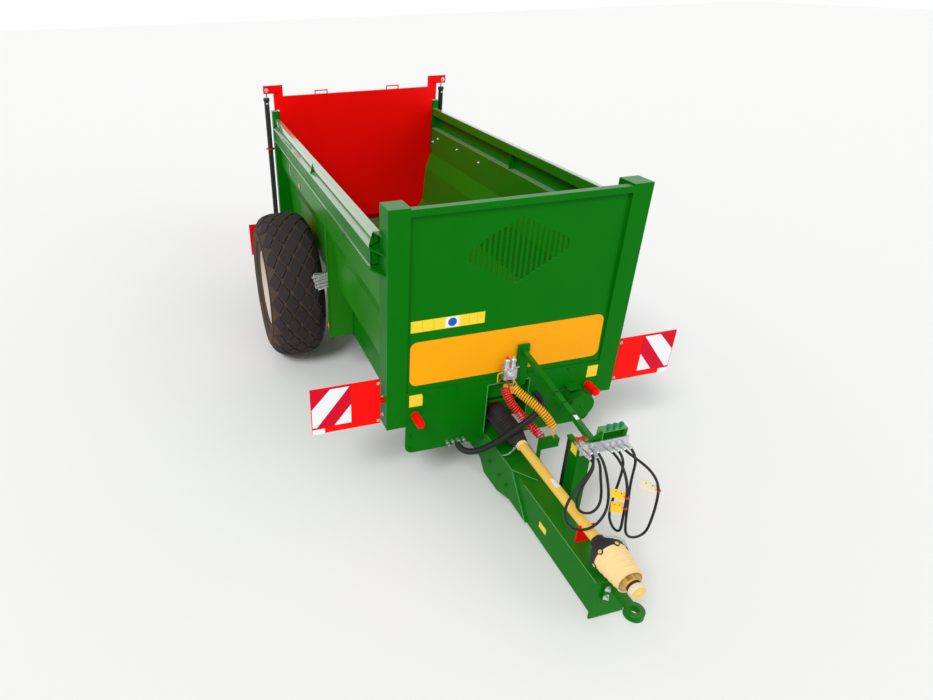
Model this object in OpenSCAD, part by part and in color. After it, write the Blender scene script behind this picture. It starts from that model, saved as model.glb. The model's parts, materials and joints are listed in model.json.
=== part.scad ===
// Trailed manure spreader: narrow welded body between two large wheels, a lifting rear door,
// a scraper floor, two upright spreading rotors and a box drawbar that parks on its own jack.
// X is across the machine, +Y points to the rear, Z is up from the ground.

/* [Body] */
// Width over the front posts
body_w = 2000; // [1900:20:2200]
// Distance from the front wall's face to the rear end of the side walls
body_l = 4320; // [3900:20:4800]
// Height of the side rails' top above the ground
rail_top = 2300; // [2200:20:2450]
// Height of the side rails
rail_h = 250; // [220:10:290]
// How far the side rails stand out past the walls
rail_out = 75; // [60:5:90]
// Thickness of the folded rail
rail_t = 8; // [5:1:12]
// Height of the floor above the ground
floor_z = 930; // [915:5:945]
// Width of the floor
floor_w = 1510; // [1450:10:1560]
// Height where the upright upper wall begins
crease_z = 1740; // [1680:10:1800]
// Height where the sloping band ends
band_z = 1550; // [1500:10:1600]
// How far the band brings the wall inwards
band_in = 70; // [40:5:90]
// Height where the lower wall turns in to the floor
hopper_z = 1120; // [1060:10:1200]
// How far the lower wall stands in from the upper wall, just above the floor
hopper_in = 100; // [80:5:130]
// Thickness of the wall sheet
sheet = 5; // [4:1:8]

/* [Front wall] */
// Width of a front post
post_w = 160; // [120:10:200]
// Depth of a front post
post_d = 188; // [150:2:220]
// Wall thickness of the posts
post_t = 8; // [5:1:12]
// Height of the posts' tops
post_top = 2503; // [2480:1:2600]
// Height of the posts' feet
post_foot = 722; // [640:2:760]
// Height of the bar along the top of the front wall
bar_h = 50; // [40:5:80]
// Depth of that bar
bar_d = 65; // [50:5:90]
// How far the bar lies below the posts' tops
bar_drop = 13; // [5:1:25]
// How far the sheet stands back from the posts' faces
panel_back = 28; // [20:1:45]
// Height where the sheet starts to lean forward
lean_z = 1660; // [1620:10:1700]
// Height of the lower board's top edge
board_top = 1040; // [1000:5:1060]
// Height of the lower board's bottom edge
board_foot = 447; // [430:1:470]
// Radius of the lower board's bottom corners
board_r = 70; // [40:5:100]
// Left edge of the opening for the drawbar and the drive
gap_left = -150; // [-170:5:-140]
// Right edge of that opening
gap_right = 210; // [180:5:240]
// Height of that opening's top edge
gap_top = 985; // [950:5:1000]

/* [Window] */
// Half width of the slotted diamond
window_w = 475; // [400:5:520]
// Half height of the slotted diamond
window_h = 258; // [200:2:280]
// Height of the diamond's middle
window_z = 2100; // [2060:5:2120]
// Distance between slots
slot_pitch = 43; // [36:1:60]
// Width of a slot
slot_w = 21; // [14:1:28]

/* [Name plate] */
// Width of the bare orange plate
plate_w = 1630; // [1400:10:1660]
// Height of the plate
plate_h = 378; // [300:2:420]
// Height of the plate's middle
plate_z = 1282; // [1260:2:1340]
// Radius of its corners
plate_r = 60; // [20:5:90]
// Thickness of the plate
plate_t = 4; // [3:1:8]

/* [Chassis] */
// Height of the long members
member_h = 370; // [340:10:390]
// Width of the long members' flanges
member_w = 60; // [50:5:80]
// Thickness of the long members
member_t = 8; // [6:1:12]
// Height of the axle above the ground
axle_z = 800; // [790:2:810]
// Distance from the front wall's face to the axle
axle_y = 2817; // [2700:1:2950]
// Side of the square axle beam
axle_s = 130; // [110:5:140]
// Radius of the axle's stub in the hub
stub_r = 45; // [40:1:55]

/* [Wheels] */
// Distance between the wheels' middles
track = 2544; // [2500:4:2640]
// Width of the tyres
tyre_w = 587; // [540:1:600]
// Radius of the rim's flange
rim_r = 417; // [390:1:430]
// Thickness of the tyre's wall
tyre_t = 34; // [25:1:45]
// Radius of the wheel's hub
hub_r = 110; // [90:5:130]
// Number of wheel nuts
nuts = 10; // [6:1:12]

/* [Drawbar] */
// Width of the box drawbar
beam_w = 235; // [200:5:260]
// Height of the drawbar's top face
beam_top = 490; // [470:5:510]
// Height of the drawbar
beam_h = 285; // [240:5:300]
// Wall thickness of the drawbar
beam_t = 12; // [8:1:16]
// Distance from the front wall's face to the drawbar's front end
beam_reach = 1600; // [1500:10:1700]
// Thickness of the cheek plates
cheek_t = 14; // [10:1:20]
// Height of the towing eye above the ground
eye_z = 455; // [430:5:470]
// Distance from the front wall's face to the middle of the eye
eye_reach = 1826; // [1780:1:1900]
// Outer radius of the eye
eye_r = 62; // [55:1:75]
// Radius of the eye's hole
eye_hole_r = 25; // [20:1:30]
// Thickness of the eye
eye_t = 45; // [35:1:55]

/* [Drive shaft] */
// Height of the drive shaft
shaft_z = 622; // [615:1:630]
// Radius of the yellow guard tube
guard_r = 37; // [32:1:42]
// Largest radius of the front guard
cone_r = 116; // [100:1:125]

/* [Jack] */
// Distance from the front wall's face to the jack
jack_reach = 755; // [700:5:820]
// Side of the jack's sleeve
sleeve_s = 110; // [100:2:120]
// Side of the jack's leg
leg_s = 84; // [70:2:90]
// Height of the sleeve's foot
sleeve_foot = 250; // [230:5:270]
// Height of the sleeve's top
sleeve_top = 900; // [860:5:940]
// How far the leg is drawn up for the road
jack_travel = 180; // [150:5:185]

/* [Rear door] */
// Width of the door
door_w = 1970; // [1950:5:1975]
// Depth of the door with its ribs
door_d = 34; // [28:1:40]
// Height of the door's top edge
door_top = 2554; // [2540:2:2600]
// How far the door is lifted
door_travel = 900; // [700:10:950]
// Distance of the lifting cylinders from the rear posts' outer faces
lift_out = 52; // [48:1:60]
// Radius of the cylinders' barrels
barrel_r = 30; // [26:1:36]
// Radius of the cylinders' rods
rod_r = 15; // [12:1:18]

/* [Spreading unit] */
// Distance from the body's rear edge to the rotors
rotor_behind = 625; // [610:5:680]
// Distance of each rotor from the middle
rotor_x = 440; // [435:1:442]
// Radius of the rotors' tubes
rotor_tube_r = 110; // [90:5:130]
// Radius of the rotors' flights
flight_r = 345; // [300:5:360]
// Radius over the rotors' blades
blade_r = 400; // [380:5:405]
// Radius of the throwing discs
disc_r = 415; // [400:1:420]
// Height of the throwing discs
disc_z = 850; // [840:5:880]
// Height of the beam over the rotors
top_beam_z = 2130; // [2100:10:2150]

/* [Scraper floor] */
// Distance of the chains from the middle
chain_x = 430; // [350:10:500]
// Radius of the chain's turn round its wheels
chain_r = 105; // [95:1:110]
// Thickness of the chain
chain_t = 14; // [10:1:18]
// Distance between the slats
slat_pitch = 350; // [280:10:450]
// Height of the slats
slat_h = 30; // [24:1:34]

/* [Boards] */
// Width of a front marker board
marker_w = 551; // [480:1:564]
// Height of a front marker board
marker_h = 406; // [360:1:423]
// Height of the front boards' lower edge
marker_z = 777; // [740:1:820]

/* [Hidden] */
$fn = 48;

// Small gap between pieces that are seated on each other
seat = 0.3;
// Running clearance of a rod, pin or stub in its bore
run = 0.05;
// Full height of the machine's parts that depend on the body
half_w = body_w / 2;
wall_in = half_w - sheet;
floor_half = floor_w / 2;
rail_foot = rail_top - rail_h;
member_top = floor_z - sheet;
member_foot = member_top - member_h;
tyre_r = axle_z;
post_in = half_w - post_w;

// The machine reaches from the towing eye to the throwing discs; its middle is the origin
nose = eye_reach + eye_r;
rotor_y = body_l + rotor_behind;
tail = rotor_y + disc_r;
wall_y = (nose - tail) / 2;

// Everything is drawn from the front wall's face and then moved to its place
module from_wall() { translate([0, wall_y, 0]) children(); }

// A profile drawn in X and Z, drawn out along Y from y0 to y1
module along_y(y0, y1) {
    translate([0, y1, 0]) rotate([90, 0, 0]) linear_extrude(y1 - y0) children();
}

// A profile drawn in Y and Z, drawn out along X from x0 to x1
module along_x(x0, x1) {
    translate([x0, 0, 0]) rotate([90, 0, 90]) linear_extrude(x1 - x0) children();
}

// A block from its low corner to its high corner
module block(a, b) { translate(a) cube(b - a); }

// Both sides of the machine
module both_sides() {
    children();
    mirror([1, 0, 0]) children();
}

// A rectangle with round corners
module round_rect(w, h, r) {
    translate([r - w / 2, -h / 2]) square([w - 2 * r, h]);
    translate([-w / 2, r - h / 2]) square([w, h - 2 * r]);
    for (sx = [-1, 1], sy = [-1, 1]) translate([sx * (w / 2 - r), sy * (h / 2 - r)]) circle(r);
}

// Front wall: posts with the bar between their tops
module front_frame() {
    color("green") from_wall() {
        both_sides() difference() {
            block([post_in, 0, post_foot], [half_w, post_d, post_top]);
            block([post_in + post_t, post_t, post_foot - 1],
                [half_w - post_t, post_d - post_t, post_top - post_t]);
        }
        block([-post_in, 0, post_top - bar_drop - bar_h], [post_in, bar_d, post_top - bar_drop]);
    }
}

// The slots of the diamond window, cut to the diamond's outline
module window_slots() {
    n = floor((window_w - slot_w) / slot_pitch);
    for (i = [-n : n]) {
        x = i * slot_pitch;
        l = x - slot_w / 2;
        r = x + slot_w / 2;
        hl = window_h * (1 - abs(l) / window_w);
        hr = window_h * (1 - abs(r) / window_w);
        if (min(hl, hr) > slot_w) polygon([[l, -hl], [r, -hr], [r, hr], [l, hl]]);
    }
}

// Front wall's sheet: upright with the slotted window, leaning forward below
lean_out = panel_back - sheet - 8;
module front_sheet() {
    top = post_top - bar_drop - bar_h;
    color("green") from_wall() {
        difference() {
            block([-post_in, panel_back, lean_z], [post_in, panel_back + sheet, top]);
            translate([0, 0, window_z]) along_y(panel_back - 1, panel_back + sheet + 1)
                window_slots();
        }
        along_x(-post_in, post_in) polygon([
            [panel_back, lean_z], [panel_back + sheet, lean_z],
            [panel_back - lean_out + sheet, board_top], [panel_back - lean_out, board_top]]);
    }
}

// Bare orange plate on the leaning part of the sheet
lean_angle = atan(lean_out / (lean_z - board_top));
module name_plate() {
    face_y = panel_back - lean_out * (lean_z - plate_z) / (lean_z - board_top);
    color("orange") from_wall() translate([0, face_y - seat, plate_z]) rotate([-lean_angle, 0, 0])
        along_y(-plate_t, 0) round_rect(plate_w, plate_h, plate_r);
}

// Lower board between the posts, open where the drawbar and the drive pass
board_t = 8;
board_y = 4;
board_back = board_y + board_t + seat;
recess_foot = 600;
recess_back = 150;
module front_board() {
    w = 2 * post_in;
    color("green") from_wall() {
        along_y(board_y, board_y + board_t) difference() {
            union() {
                translate([-w / 2 + board_r, board_foot]) square([w - 2 * board_r, board_r]);
                translate([-w / 2, board_foot + board_r])
                    square([w, board_top - board_foot - board_r]);
                for (s = [-1, 1])
                    translate([s * (w / 2 - board_r), board_foot + board_r]) circle(board_r);
            }
            translate([gap_left, board_foot - 1]) square([gap_right - gap_left, gap_top - board_foot + 1]);
        }
        // Recess behind the opening: sides, top and back
        difference() {
            block([gap_left - board_t, board_y + board_t, recess_foot],
                [gap_right + board_t, recess_back, gap_top + board_t]);
            block([gap_left, board_y, recess_foot - 1], [gap_right, recess_back - board_t, gap_top]);
            translate([0, recess_back + 1, shaft_z]) rotate([90, 0, 0]) cylinder(h = 20, r = 80);
        }
        // Two cross plates in the recess
        block([gap_left, 40, 830], [gap_right, recess_back - board_t, 950]);
        block([gap_left, 60, 770], [gap_right, recess_back - board_t, 790]);
    }
}

// Caps over the screws that tighten the floor's chains
tightener_x = 765;
tightener_z = 825;
module chain_tighteners() {
    color("red") from_wall() both_sides() translate([tightener_x, board_y - seat, tightener_z])
        rotate([90, 0, 0]) {
            cylinder(h = 140, r = 34);
            translate([0, 0, 140]) cylinder(h = 8, r1 = 34, r2 = 26);
        }
}

// Round guard of the floor's drive with the plate that carries it
guard_x = 653;
module drum_guard() {
    color("green") from_wall() {
        translate([guard_x, board_y - seat, 710]) rotate([90, 0, 0]) {
            cylinder(h = 130, r = 106);
            for (z = [64, 130]) translate([0, 0, z]) cylinder(h = 8, r = 112);
            translate([0, 0, 130]) cylinder(h = 14, r1 = 30, r2 = 14);
        }
        block([guard_x - 110, board_y - seat - 96, 855], [guard_x, board_y - seat, 863]);
    }
}

// Four pipe ends where the hose bundle leaves
module pipe_ends() {
    color("silver") from_wall() for (i = [0 : 3]) translate([-480 + 48 * i, board_y - seat, 500])
        rotate([90, 0, 0]) {
            cylinder(h = 30, r = 15, $fn = 6);
            cylinder(h = 62, r = 9);
        }
}

// The wall's line from the rail down to the floor, moved outwards by dx
function wall_line(dx) = [
    [wall_in + dx, rail_foot], [wall_in + dx, crease_z], [wall_in - band_in + dx, band_z],
    [wall_in - hopper_in + dx, hopper_z], [floor_half + dx, floor_z],
    [floor_half + dx, member_top]];
function reversed(v) = [for (i = [len(v) - 1 : -1 : 0]) v[i]];

// Side wall: one folded sheet with upright, sloping band and lower hopper
module side_wall() {
    // The lower strip runs on to the front board, between the floor and the post
    slope = (hopper_z - floor_z) / (wall_in - hopper_in - floor_half);
    strip_x = min(post_in - seat - floor_half, (board_top - seat - floor_z) / slope);
    color("green") from_wall() {
        along_y(post_d + seat, body_l) polygon(concat(wall_line(0), reversed(wall_line(sheet))));
        along_y(board_back, post_d + seat + 1) translate([floor_half, floor_z])
            polygon([[0, 0], [strip_x, slope * strip_x], [strip_x, slope * (strip_x - sheet)], [sheet, 0],
                [sheet, -sheet], [0, -sheet]]);
    }
}
module side_wall_right() { side_wall(); }
module side_wall_left() { mirror([1, 0, 0]) side_wall(); }

// Side rail: an S fold with three flanges, stiffened by cross plates
ledge_drop = 80;
module rail_section() {
    x0 = wall_in;
    x1 = half_w + rail_out;
    ledge = rail_top - ledge_drop;
    translate([x0, rail_top - rail_t]) square([x1 - x0, rail_t]);
    translate([x0, ledge - rail_t]) square([rail_t, ledge_drop]);
    translate([x0, ledge - rail_t]) square([x1 - x0, rail_t]);
    translate([x1 - rail_t, rail_foot]) square([rail_t, ledge - rail_foot]);
    translate([x0, rail_foot]) square([x1 - x0, rail_t]);
}
module side_rail() {
    x1 = half_w + rail_out;
    color("green") from_wall() {
        along_y(post_d + 12, body_l) rail_section();
        for (y = [post_d + 12, 1180, 2180, 3180, body_l - rail_t])
            block([wall_in, y, rail_foot], [x1, y + rail_t, rail_top - ledge_drop]);
        // Three plates that tie the rail's front end to the post
        for (z = [rail_top - rail_t, rail_top - 130, rail_foot])
            translate([0, 0, z]) linear_extrude(rail_t)
                polygon([[half_w + seat, 30], [x1, post_d + 12], [half_w + seat, post_d + 12]]);
    }
}
module side_rail_right() { side_rail(); }
module side_rail_left() { mirror([1, 0, 0]) side_rail(); }

// Upright panels in front of the wheels, under the slope of the walls
panel_y = 1900;
panel_top = 1850;
module wheel_panels() {
    line = [for (p = wall_line(sheet + seat)) if (p[1] < crease_z) p];
    color("green") from_wall() both_sides() {
        along_y(panel_y, panel_y + sheet)
            polygon(concat([[half_w + seat, crease_z]], line,
                [[floor_half + sheet + seat, member_foot], [half_w + seat + sheet, member_foot],
                [half_w + seat + sheet, crease_z]]));
        block([half_w + seat, panel_y, member_foot], [half_w + seat + sheet, panel_y + 75, panel_top]);
    }
}

// Floor between the walls
module floor_plate() {
    color("dimgray") from_wall() difference() {
        block([-floor_half, board_back, floor_z - sheet], [floor_half, body_l, floor_z]);
        block([gap_left - board_t - seat, 0, floor_z - sheet - 1],
            [gap_right + board_t + seat, recess_back + seat, floor_z + 1]);
        for (s = [-1, 1], y = [front_turn, rear_turn])
            block([s * chain_x - 32, y - chain_r - 40, floor_z - sheet - 1],
                [s * chain_x + 32, y + 45 + (y == rear_turn ? 100 : 0), floor_z + 1]);
    }
}

// Long members under the walls, open where the axle passes
module long_members() {
    color("green") from_wall() both_sides() difference() {
        along_y(board_back, body_l + 80) translate([floor_half - member_w, member_foot])
            difference() {
                square([member_w, member_h - seat]);
                translate([-1, member_t]) square([member_w - member_t + 1, member_h - seat - 2 * member_t]);
            }
        block([floor_half - member_t - 1, axle_y - axle_s / 2 - seat, axle_z - axle_s / 2 - seat],
            [floor_half + 1, axle_y + axle_s / 2 + seat, axle_z + axle_s / 2 + seat]);
    }
}

// Where the drawbar's beams carry the chassis
carry_y = [200, 560];

// Flat box cross members that tie the long members and carry the drawbar
module cross_members() {
    color("green") from_wall() for (y = [carry_y[0], carry_y[1], 1500, 3700])
        difference() {
            block([-floor_half + member_t, y, member_foot + member_t],
                [floor_half - member_t, y + 100, member_foot + member_t + 34]);
            block([-floor_half, y + 6, member_foot + member_t + 6],
                [floor_half, y + 94, member_foot + member_t + 28]);
        }
}

// Axle beam with its stubs and brake back plates
hub_in = 985;
module axle() {
    color("dimgray") from_wall() translate([0, axle_y, axle_z]) {
        translate([-hub_in, -axle_s / 2, -axle_s / 2]) cube([2 * hub_in, axle_s, axle_s]);
        both_sides() rotate([0, 90, 0]) {
            translate([0, 0, hub_in]) cylinder(h = 15, r = 185);
            translate([0, 0, hub_in]) cylinder(h = 330, r = stub_r);
        }
    }
}

// Half of the tyre's outline, inset by t: bead, sidewall, shoulder and crown
function tyre_side(t) = [for (a = [0 : 15 : 75])
    [rim_r + seat + (tyre_r - 40 - rim_r) * a / 75, (tyre_w / 2 - t) * (1 - 0.18 * pow(1 - a / 40, 2))]];
function mirrored(v) = [for (i = [len(v) - 1 : -1 : 0]) [v[i][0], -v[i][1]]];
module tyre_profile() {
    outer = concat(tyre_side(0), [[tyre_r - 12, tyre_w * 0.40], [tyre_r, tyre_w * 0.30]]);
    inner = concat(tyre_side(tyre_t), [[tyre_r - tyre_t - 12, tyre_w * 0.34]]);
    polygon(concat(outer, mirrored(outer), reversed(mirrored(inner)), reversed(inner)));
}
module tyre(side) {
    color("black") from_wall() translate([side * track / 2, axle_y, axle_z])
        rotate([0, 90, 0]) rotate_extrude($fn = 72) tyre_profile();
}
module tyre_left() { tyre(-1); }
module tyre_right() { tyre(1); }

// Rim with its dish, hub, brake drum and nuts; the wheel turns on the axle's stub
module rim() {
    half_rim = tyre_w * 0.41;
    disc_x = 40;
    color("white") from_wall() translate([track / 2, axle_y, axle_z]) rotate([0, 90, 0]) {
        difference() {
            rotate_extrude($fn = 72) {
                polygon([[rim_r - 30, -half_rim], [rim_r, -half_rim], [rim_r, -half_rim + 10],
                    [rim_r - 20, -half_rim + 14], [rim_r - 20, half_rim - 14],
                    [rim_r, half_rim - 10], [rim_r, half_rim], [rim_r - 30, half_rim]]);
                polygon([[hub_r - 1, disc_x], [250, disc_x + 30], [rim_r - 29, disc_x - 20],
                    [rim_r - 29, disc_x - 32], [250, disc_x + 18], [hub_r - 1, disc_x - 12]]);
            }
            for (i = [0 : 7]) rotate([0, 0, i * 45]) translate([300, 0, -100])
                cylinder(h = 300, r = 32);
        }
        difference() {
            union() {
                translate([0, 0, 1006 - track / 2]) cylinder(h = 124, r = 185);
                translate([0, 0, 1120 - track / 2]) cylinder(h = disc_x + track / 2 - 1120, r = hub_r);
                translate([0, 0, disc_x]) cylinder(h = 60, r = 75);
                for (i = [0 : nuts - 1]) rotate([0, 0, i * 360 / nuts]) translate([142, 0, disc_x + 2])
                    cylinder(h = 32, r = 15, $fn = 6);
            }
            translate([0, 0, 1000 - track / 2]) cylinder(h = 320, r = stub_r + run);
        }
    }
}
module rim_left() { mirror([1, 0, 0]) rim(); }
module rim_right() { rim(); }

// Box drawbar with cheek plates, throat plate, end plate and the beam that joins the chassis
module drawbar() {
    half = beam_w / 2;
    foot = beam_top - beam_h;
    color("green") from_wall() {
        difference() {
            block([-half, -beam_reach, foot], [half, 700, beam_top]);
            block([-half + beam_t, -beam_reach + beam_t, foot + beam_t],
                [half - beam_t, 701, beam_top - beam_t]);
        }
        // Cheek plates on both sides
        both_sides() along_x(half, half + cheek_t) polygon([
            [600, beam_top], [-480, beam_top], [-755, foot], [-490, foot], [-290, foot - 80],
            [-40, foot - 92], [60, foot], [600, foot]]);
        // Pointed throat plate on top
        translate([0, 0, beam_top]) linear_extrude(10)
            polygon([[-half - cheek_t, 0], [-half - cheek_t, -480], [0, -640], [60, -560],
                [half + cheek_t, -480], [half + cheek_t, 0]]);
        // End plate
        block([-half - 10, -beam_reach - 16, foot - 38], [half + 10, -beam_reach, beam_top + 10]);
        // Beams that carry the chassis
        for (y = carry_y) block([-500, y, beam_top], [500, y + 100, member_foot + member_t]);
    }
}

// Towing eye with its flange and shank
module towing_eye() {
    color("green") from_wall() difference() {
        union() {
            translate([0, -eye_reach, eye_z - eye_t / 2]) cylinder(h = eye_t, r = eye_r);
            translate([-30, -eye_reach + eye_r - 12, eye_z - 20])
                cube([60, eye_reach - beam_reach - eye_r + 12 - 16 - 20, 40]);
            block([-75, -beam_reach - 36, eye_z - 95], [75, -beam_reach - 16 - seat, eye_z + 30]);
        }
        translate([0, -eye_reach, eye_z - eye_t]) cylinder(h = 2 * eye_t, r = eye_hole_r);
    }
}

// Red rest in which the drive shaft lies when it is taken off
module shaft_rest() {
    color("red") from_wall() difference() {
        block([-62, -1262, beam_top + seat], [62, -1250, shaft_z + 12]);
        translate([0, -1262 - 1, shaft_z]) rotate([-90, 0, 0]) cylinder(h = 20, r = guard_r + seat);
        block([-guard_r - seat, -1270, shaft_z], [guard_r + seat, -1240, shaft_z + 40]);
    }
}

// Gearbox behind the opening, where the drive shaft ends
boot_rear = 110;
gearbox_back = 420;
module gearbox() {
    color("darkred") from_wall() {
        block([-130, recess_back + seat, member_foot + member_t + 34 + seat], [130, gearbox_back, shaft_z + 140]);
        translate([0, recess_back + 20, shaft_z]) rotate([90, 0, 0])
            cylinder(h = recess_back + 20 - boot_rear, r = 70);
    }
}

// Black boot over the rear joint
module shaft_boot() {
    color("black") from_wall() translate([0, boot_rear - seat, shaft_z]) rotate([90, 0, 0]) {
        cylinder(h = 330, r = 88);
        translate([0, 0, 330]) cylinder(h = 130, r1 = 80, r2 = 52);
    }
}

// Yellow guard tube
tube_rear = -350;
tube_front = -1410;
module shaft_tube() {
    color("gold") from_wall() translate([0, tube_rear - seat, shaft_z]) rotate([90, 0, 0])
        cylinder(h = tube_rear - tube_front - 2 * seat, r = guard_r);
}

// Front guard: black bell with four ribs round it, and the yellow ridged cone, open at the front
bell_l = 122;
module guard_bell() {
    color("black") from_wall() translate([0, tube_front, shaft_z]) rotate([90, 0, 0]) difference() {
        rotate_extrude() polygon([[0, 0], [50, 0], [56, 12], [62, 12], [66, 30], [78, 32], [84, 52],
            [96, 54], [101, 76], [cone_r - 2, 80], [cone_r, bell_l - 20], [cone_r, bell_l], [0, bell_l]]);
        translate([0, 0, 50]) cylinder(h = 100, r = 18 + run);
    }
}
cone_l = 205;
module shaft_guard() {
    // Ridges: steps of the radius, each ends with a small lip
    ridges = [for (i = [0 : 4]) let (r = cone_r - 2 - 5.5 * i, z = i * cone_l / 5)
        each [[r, z], [r - 4.5, z + cone_l / 5 - 6], [r - 2.5, z + cone_l / 5 - 6], [r - 2.5, z + cone_l / 5]]];
    color("gold") from_wall() translate([0, tube_front - bell_l - seat, shaft_z]) rotate([90, 0, 0])
        rotate_extrude() polygon(concat([[cone_r - 22, 0]], ridges, [[cone_r - 34, cone_l], [cone_r - 12, 8]]));
}

// Yoke at the shaft's front end, which turns in the guard
yoke_y = -1560;
module shaft_yoke() {
    color("goldenrod") from_wall() translate([0, yoke_y, shaft_z]) rotate([90, 0, 0]) difference() {
        union() {
            cylinder(h = 60, r = 34);
            translate([0, 0, -80]) cylinder(h = 81, r = 18);
            translate([-36, -20, 50]) cube([14, 40, 150]);
            translate([22, -20, 50]) cube([14, 40, 150]);
            translate([0, 0, 190]) cylinder(h = 75, r = 44);
        }
        translate([0, 0, 180]) cylinder(h = 100, r = 17.5);
    }
}

// Upright on the lower board with the square arm that carries the hoses over the drawbar
arm_x = 120;
arm_z = 1262;
arm_drop = 8.3;
arm_l = 1062;
holder_y = -1058;
module hose_arm() {
    color("green") from_wall() {
        translate([arm_x, 0, arm_z]) rotate([arm_drop, 0, 0]) translate([-20, -arm_l, -20])
            cube([40, arm_l - 4, 40]);
        block([arm_x - 50, -10, gap_top - 40], [arm_x + 50, board_y - seat, arm_z + 60]);
    }
}

// Cross plate at the arm's end: through fittings where the hoses leave, parked couplings where they end
fittings = [
    // x, z
    [20, 1142], [66, 1142], [20, 1100], [66, 1100], [178, 1120], [224, 1120], [270, 1120], [316, 1120]];
fitting_end = holder_y - 8 - 40;
module hose_holder() {
    color("silver") from_wall() {
        block([-10, holder_y - 8, 1075], [345, holder_y, 1167]);
        for (f = fittings) translate([f[0], holder_y + 30, f[1]]) rotate([90, 0, 0])
            cylinder(h = holder_y + 30 - fitting_end, r = 16);
    }
}

// Valve on the upright where the air hoses begin, and the bracket where they end
valve_foot = 1060;
module air_valve() {
    color("silver") from_wall() {
        block([-64, -74, valve_foot], [46, -22, 1150]);
        block([-62, -60, 1150], [arm_x - 50 - seat, 0, 1160]);
        for (x = [-36, 18]) translate([x, -48, 1150]) cylinder(h = 70, r = 18);
        block([96, -428, beam_top + 10 + seat], [131, -420, 720]);
        block([96, -428, 600], [280, -420, 680]);
        block([96, -428, 600], [205, -420, 720]);
        block([205, -432, 672], [280, -376, 680]);
    }
}

// Jack beside the drawbar: sleeve, barrel, leg with its foot, and rod
jack_x = beam_w / 2 + cheek_t + 100;
module jack_sleeve() {
    s = sleeve_s / 2;
    in = leg_s / 2 + 2;
    color("green") from_wall() {
        translate([jack_x, -jack_reach, 0]) {
            difference() {
                block([-s, -s, sleeve_foot], [s, s, sleeve_top]);
                block([-in, -in, sleeve_foot - 1], [in, in, sleeve_top - 10]);
            }
            // Bracket for the barrel
            block([-20, s, sleeve_top - 60], [20, s + 100, sleeve_top - 40]);
        }
        block([beam_w / 2 + seat, -jack_reach - 40, 300], [jack_x - s + 1, -jack_reach + 40, beam_top - 20]);
    }
}
barrel_y = -jack_reach + sleeve_s / 2 + 55;
module jack_barrel() {
    color("black") from_wall() translate([jack_x, barrel_y, 0]) difference() {
        translate([0, 0, 400]) cylinder(h = sleeve_top - 60 - seat - 400, r = 35);
        translate([0, 0, 399]) cylinder(h = sleeve_top - 100 - 399, r = 18 + run);
    }
}
module jack_leg() {
    s = leg_s / 2;
    color("gray") from_wall() {
        translate([jack_x, -jack_reach, 0]) difference() {
            block([-s, -s, 12], [s, s, 650]);
            block([-s + 8, -s + 8, 20], [s - 8, s - 8, 651]);
        }
        block([jack_x - 110, -jack_reach - 100, 0], [jack_x + 110, barrel_y + 50, 12]);
    }
}
module jack_rod() {
    color("silver") from_wall() translate([jack_x, barrel_y, 12 + seat])
        cylinder(h = 590 - 12, r = 18);
}

// Front marker boards, one on each side, on an arm from the post
marker_y = 45;
marker_in = 35;
module marker() {
    color("red") from_wall() {
        block([half_w + marker_in, marker_y, marker_z], [half_w + marker_in + marker_w, marker_y + 4,
            marker_z + marker_h]);
        block([half_w + seat, marker_y + 4, marker_z + 180],
            [half_w + marker_in + 300, marker_y + 34, marker_z + 220]);
    }
}
module marker_left() { mirror([1, 0, 0]) marker(); }
module marker_right() { marker(); }

// Rear boards with lamps on arms from the rear posts
module rear_boards() {
    color("red") from_wall() both_sides() {
        block([rear_post_out, body_l + 120, 560], [rear_post_out + 420, body_l + 124, 980]);
        block([rear_post_out + seat, body_l + 70, 750], [rear_post_out + 90, body_l + 120, 800]);
    }
}

// Rear posts with the guides of the door
lug_top = 1044;
guide_in = door_w / 2 + 10;
rear_post_out = guide_in + rail_out;
rear_post_top = 2390;
lift_x = rear_post_out + lift_out;
module rear_posts() {
    post = rear_post_out;
    color("green") from_wall() both_sides() {
        difference() {
            block([guide_in, body_l + seat, member_foot], [post, body_l + 100, rear_post_top]);
            block([guide_in + 6, body_l + 6, member_foot - 1], [post - 6, body_l + 94, rear_post_top - 6]);
        }
        block([guide_in - 50, body_l + 62, floor_z + 20], [guide_in, body_l + 68, rear_post_top - 10]);
        // Foot that joins the long member
        block([floor_half + seat, body_l + seat, member_foot], [guide_in, body_l + 60, member_foot + 120]);
        // Lug for the lifting cylinder
        block([post - 1, body_l + 35, 1000], [lift_x + 32, body_l + 110, lug_top]);
    }
}

// Rear door: sheet, ribs, top edge, ears with their pins, and two handles
door_y = body_l + 13;
door_foot = floor_z + 55;
rod_z = 2630;
module rear_door() {
    color("red") from_wall() {
        both_sides() {
            // Sheet and top edge
            block([0, door_y, door_foot], [door_w / 2, door_y + 5, door_top]);
            block([0, door_y, door_top - 30], [door_w / 2, door_y + door_d, door_top]);
            block([0, door_y, door_foot], [door_w / 2, door_y + door_d, door_foot + 60]);
            for (x = [60, 420, 780]) block([x, door_y, door_foot], [x + 50, door_y + door_d, door_top]);
            for (z = [1400, 1900]) block([0, door_y, z], [door_w / 2 - 20, door_y + door_d, z + 50]);
            // Ear with the pin of the lifting rod
            block([door_w / 2 - 60, door_y + 8, door_top - 30], [door_w / 2, door_y + 26, 2680]);
            block([door_w / 2 - 1, door_y + 8, 2590], [lift_x + 35, door_y + 26, 2680]);
            // Handle
            translate([380, door_y + 15, door_top]) {
                for (x = [0, 150]) translate([x, 0, -1]) cylinder(h = 41, r = 7);
                translate([-7, 0, 40]) rotate([0, 90, 0]) cylinder(h = 164, r = 7);
            }
        }
    }
}

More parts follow.
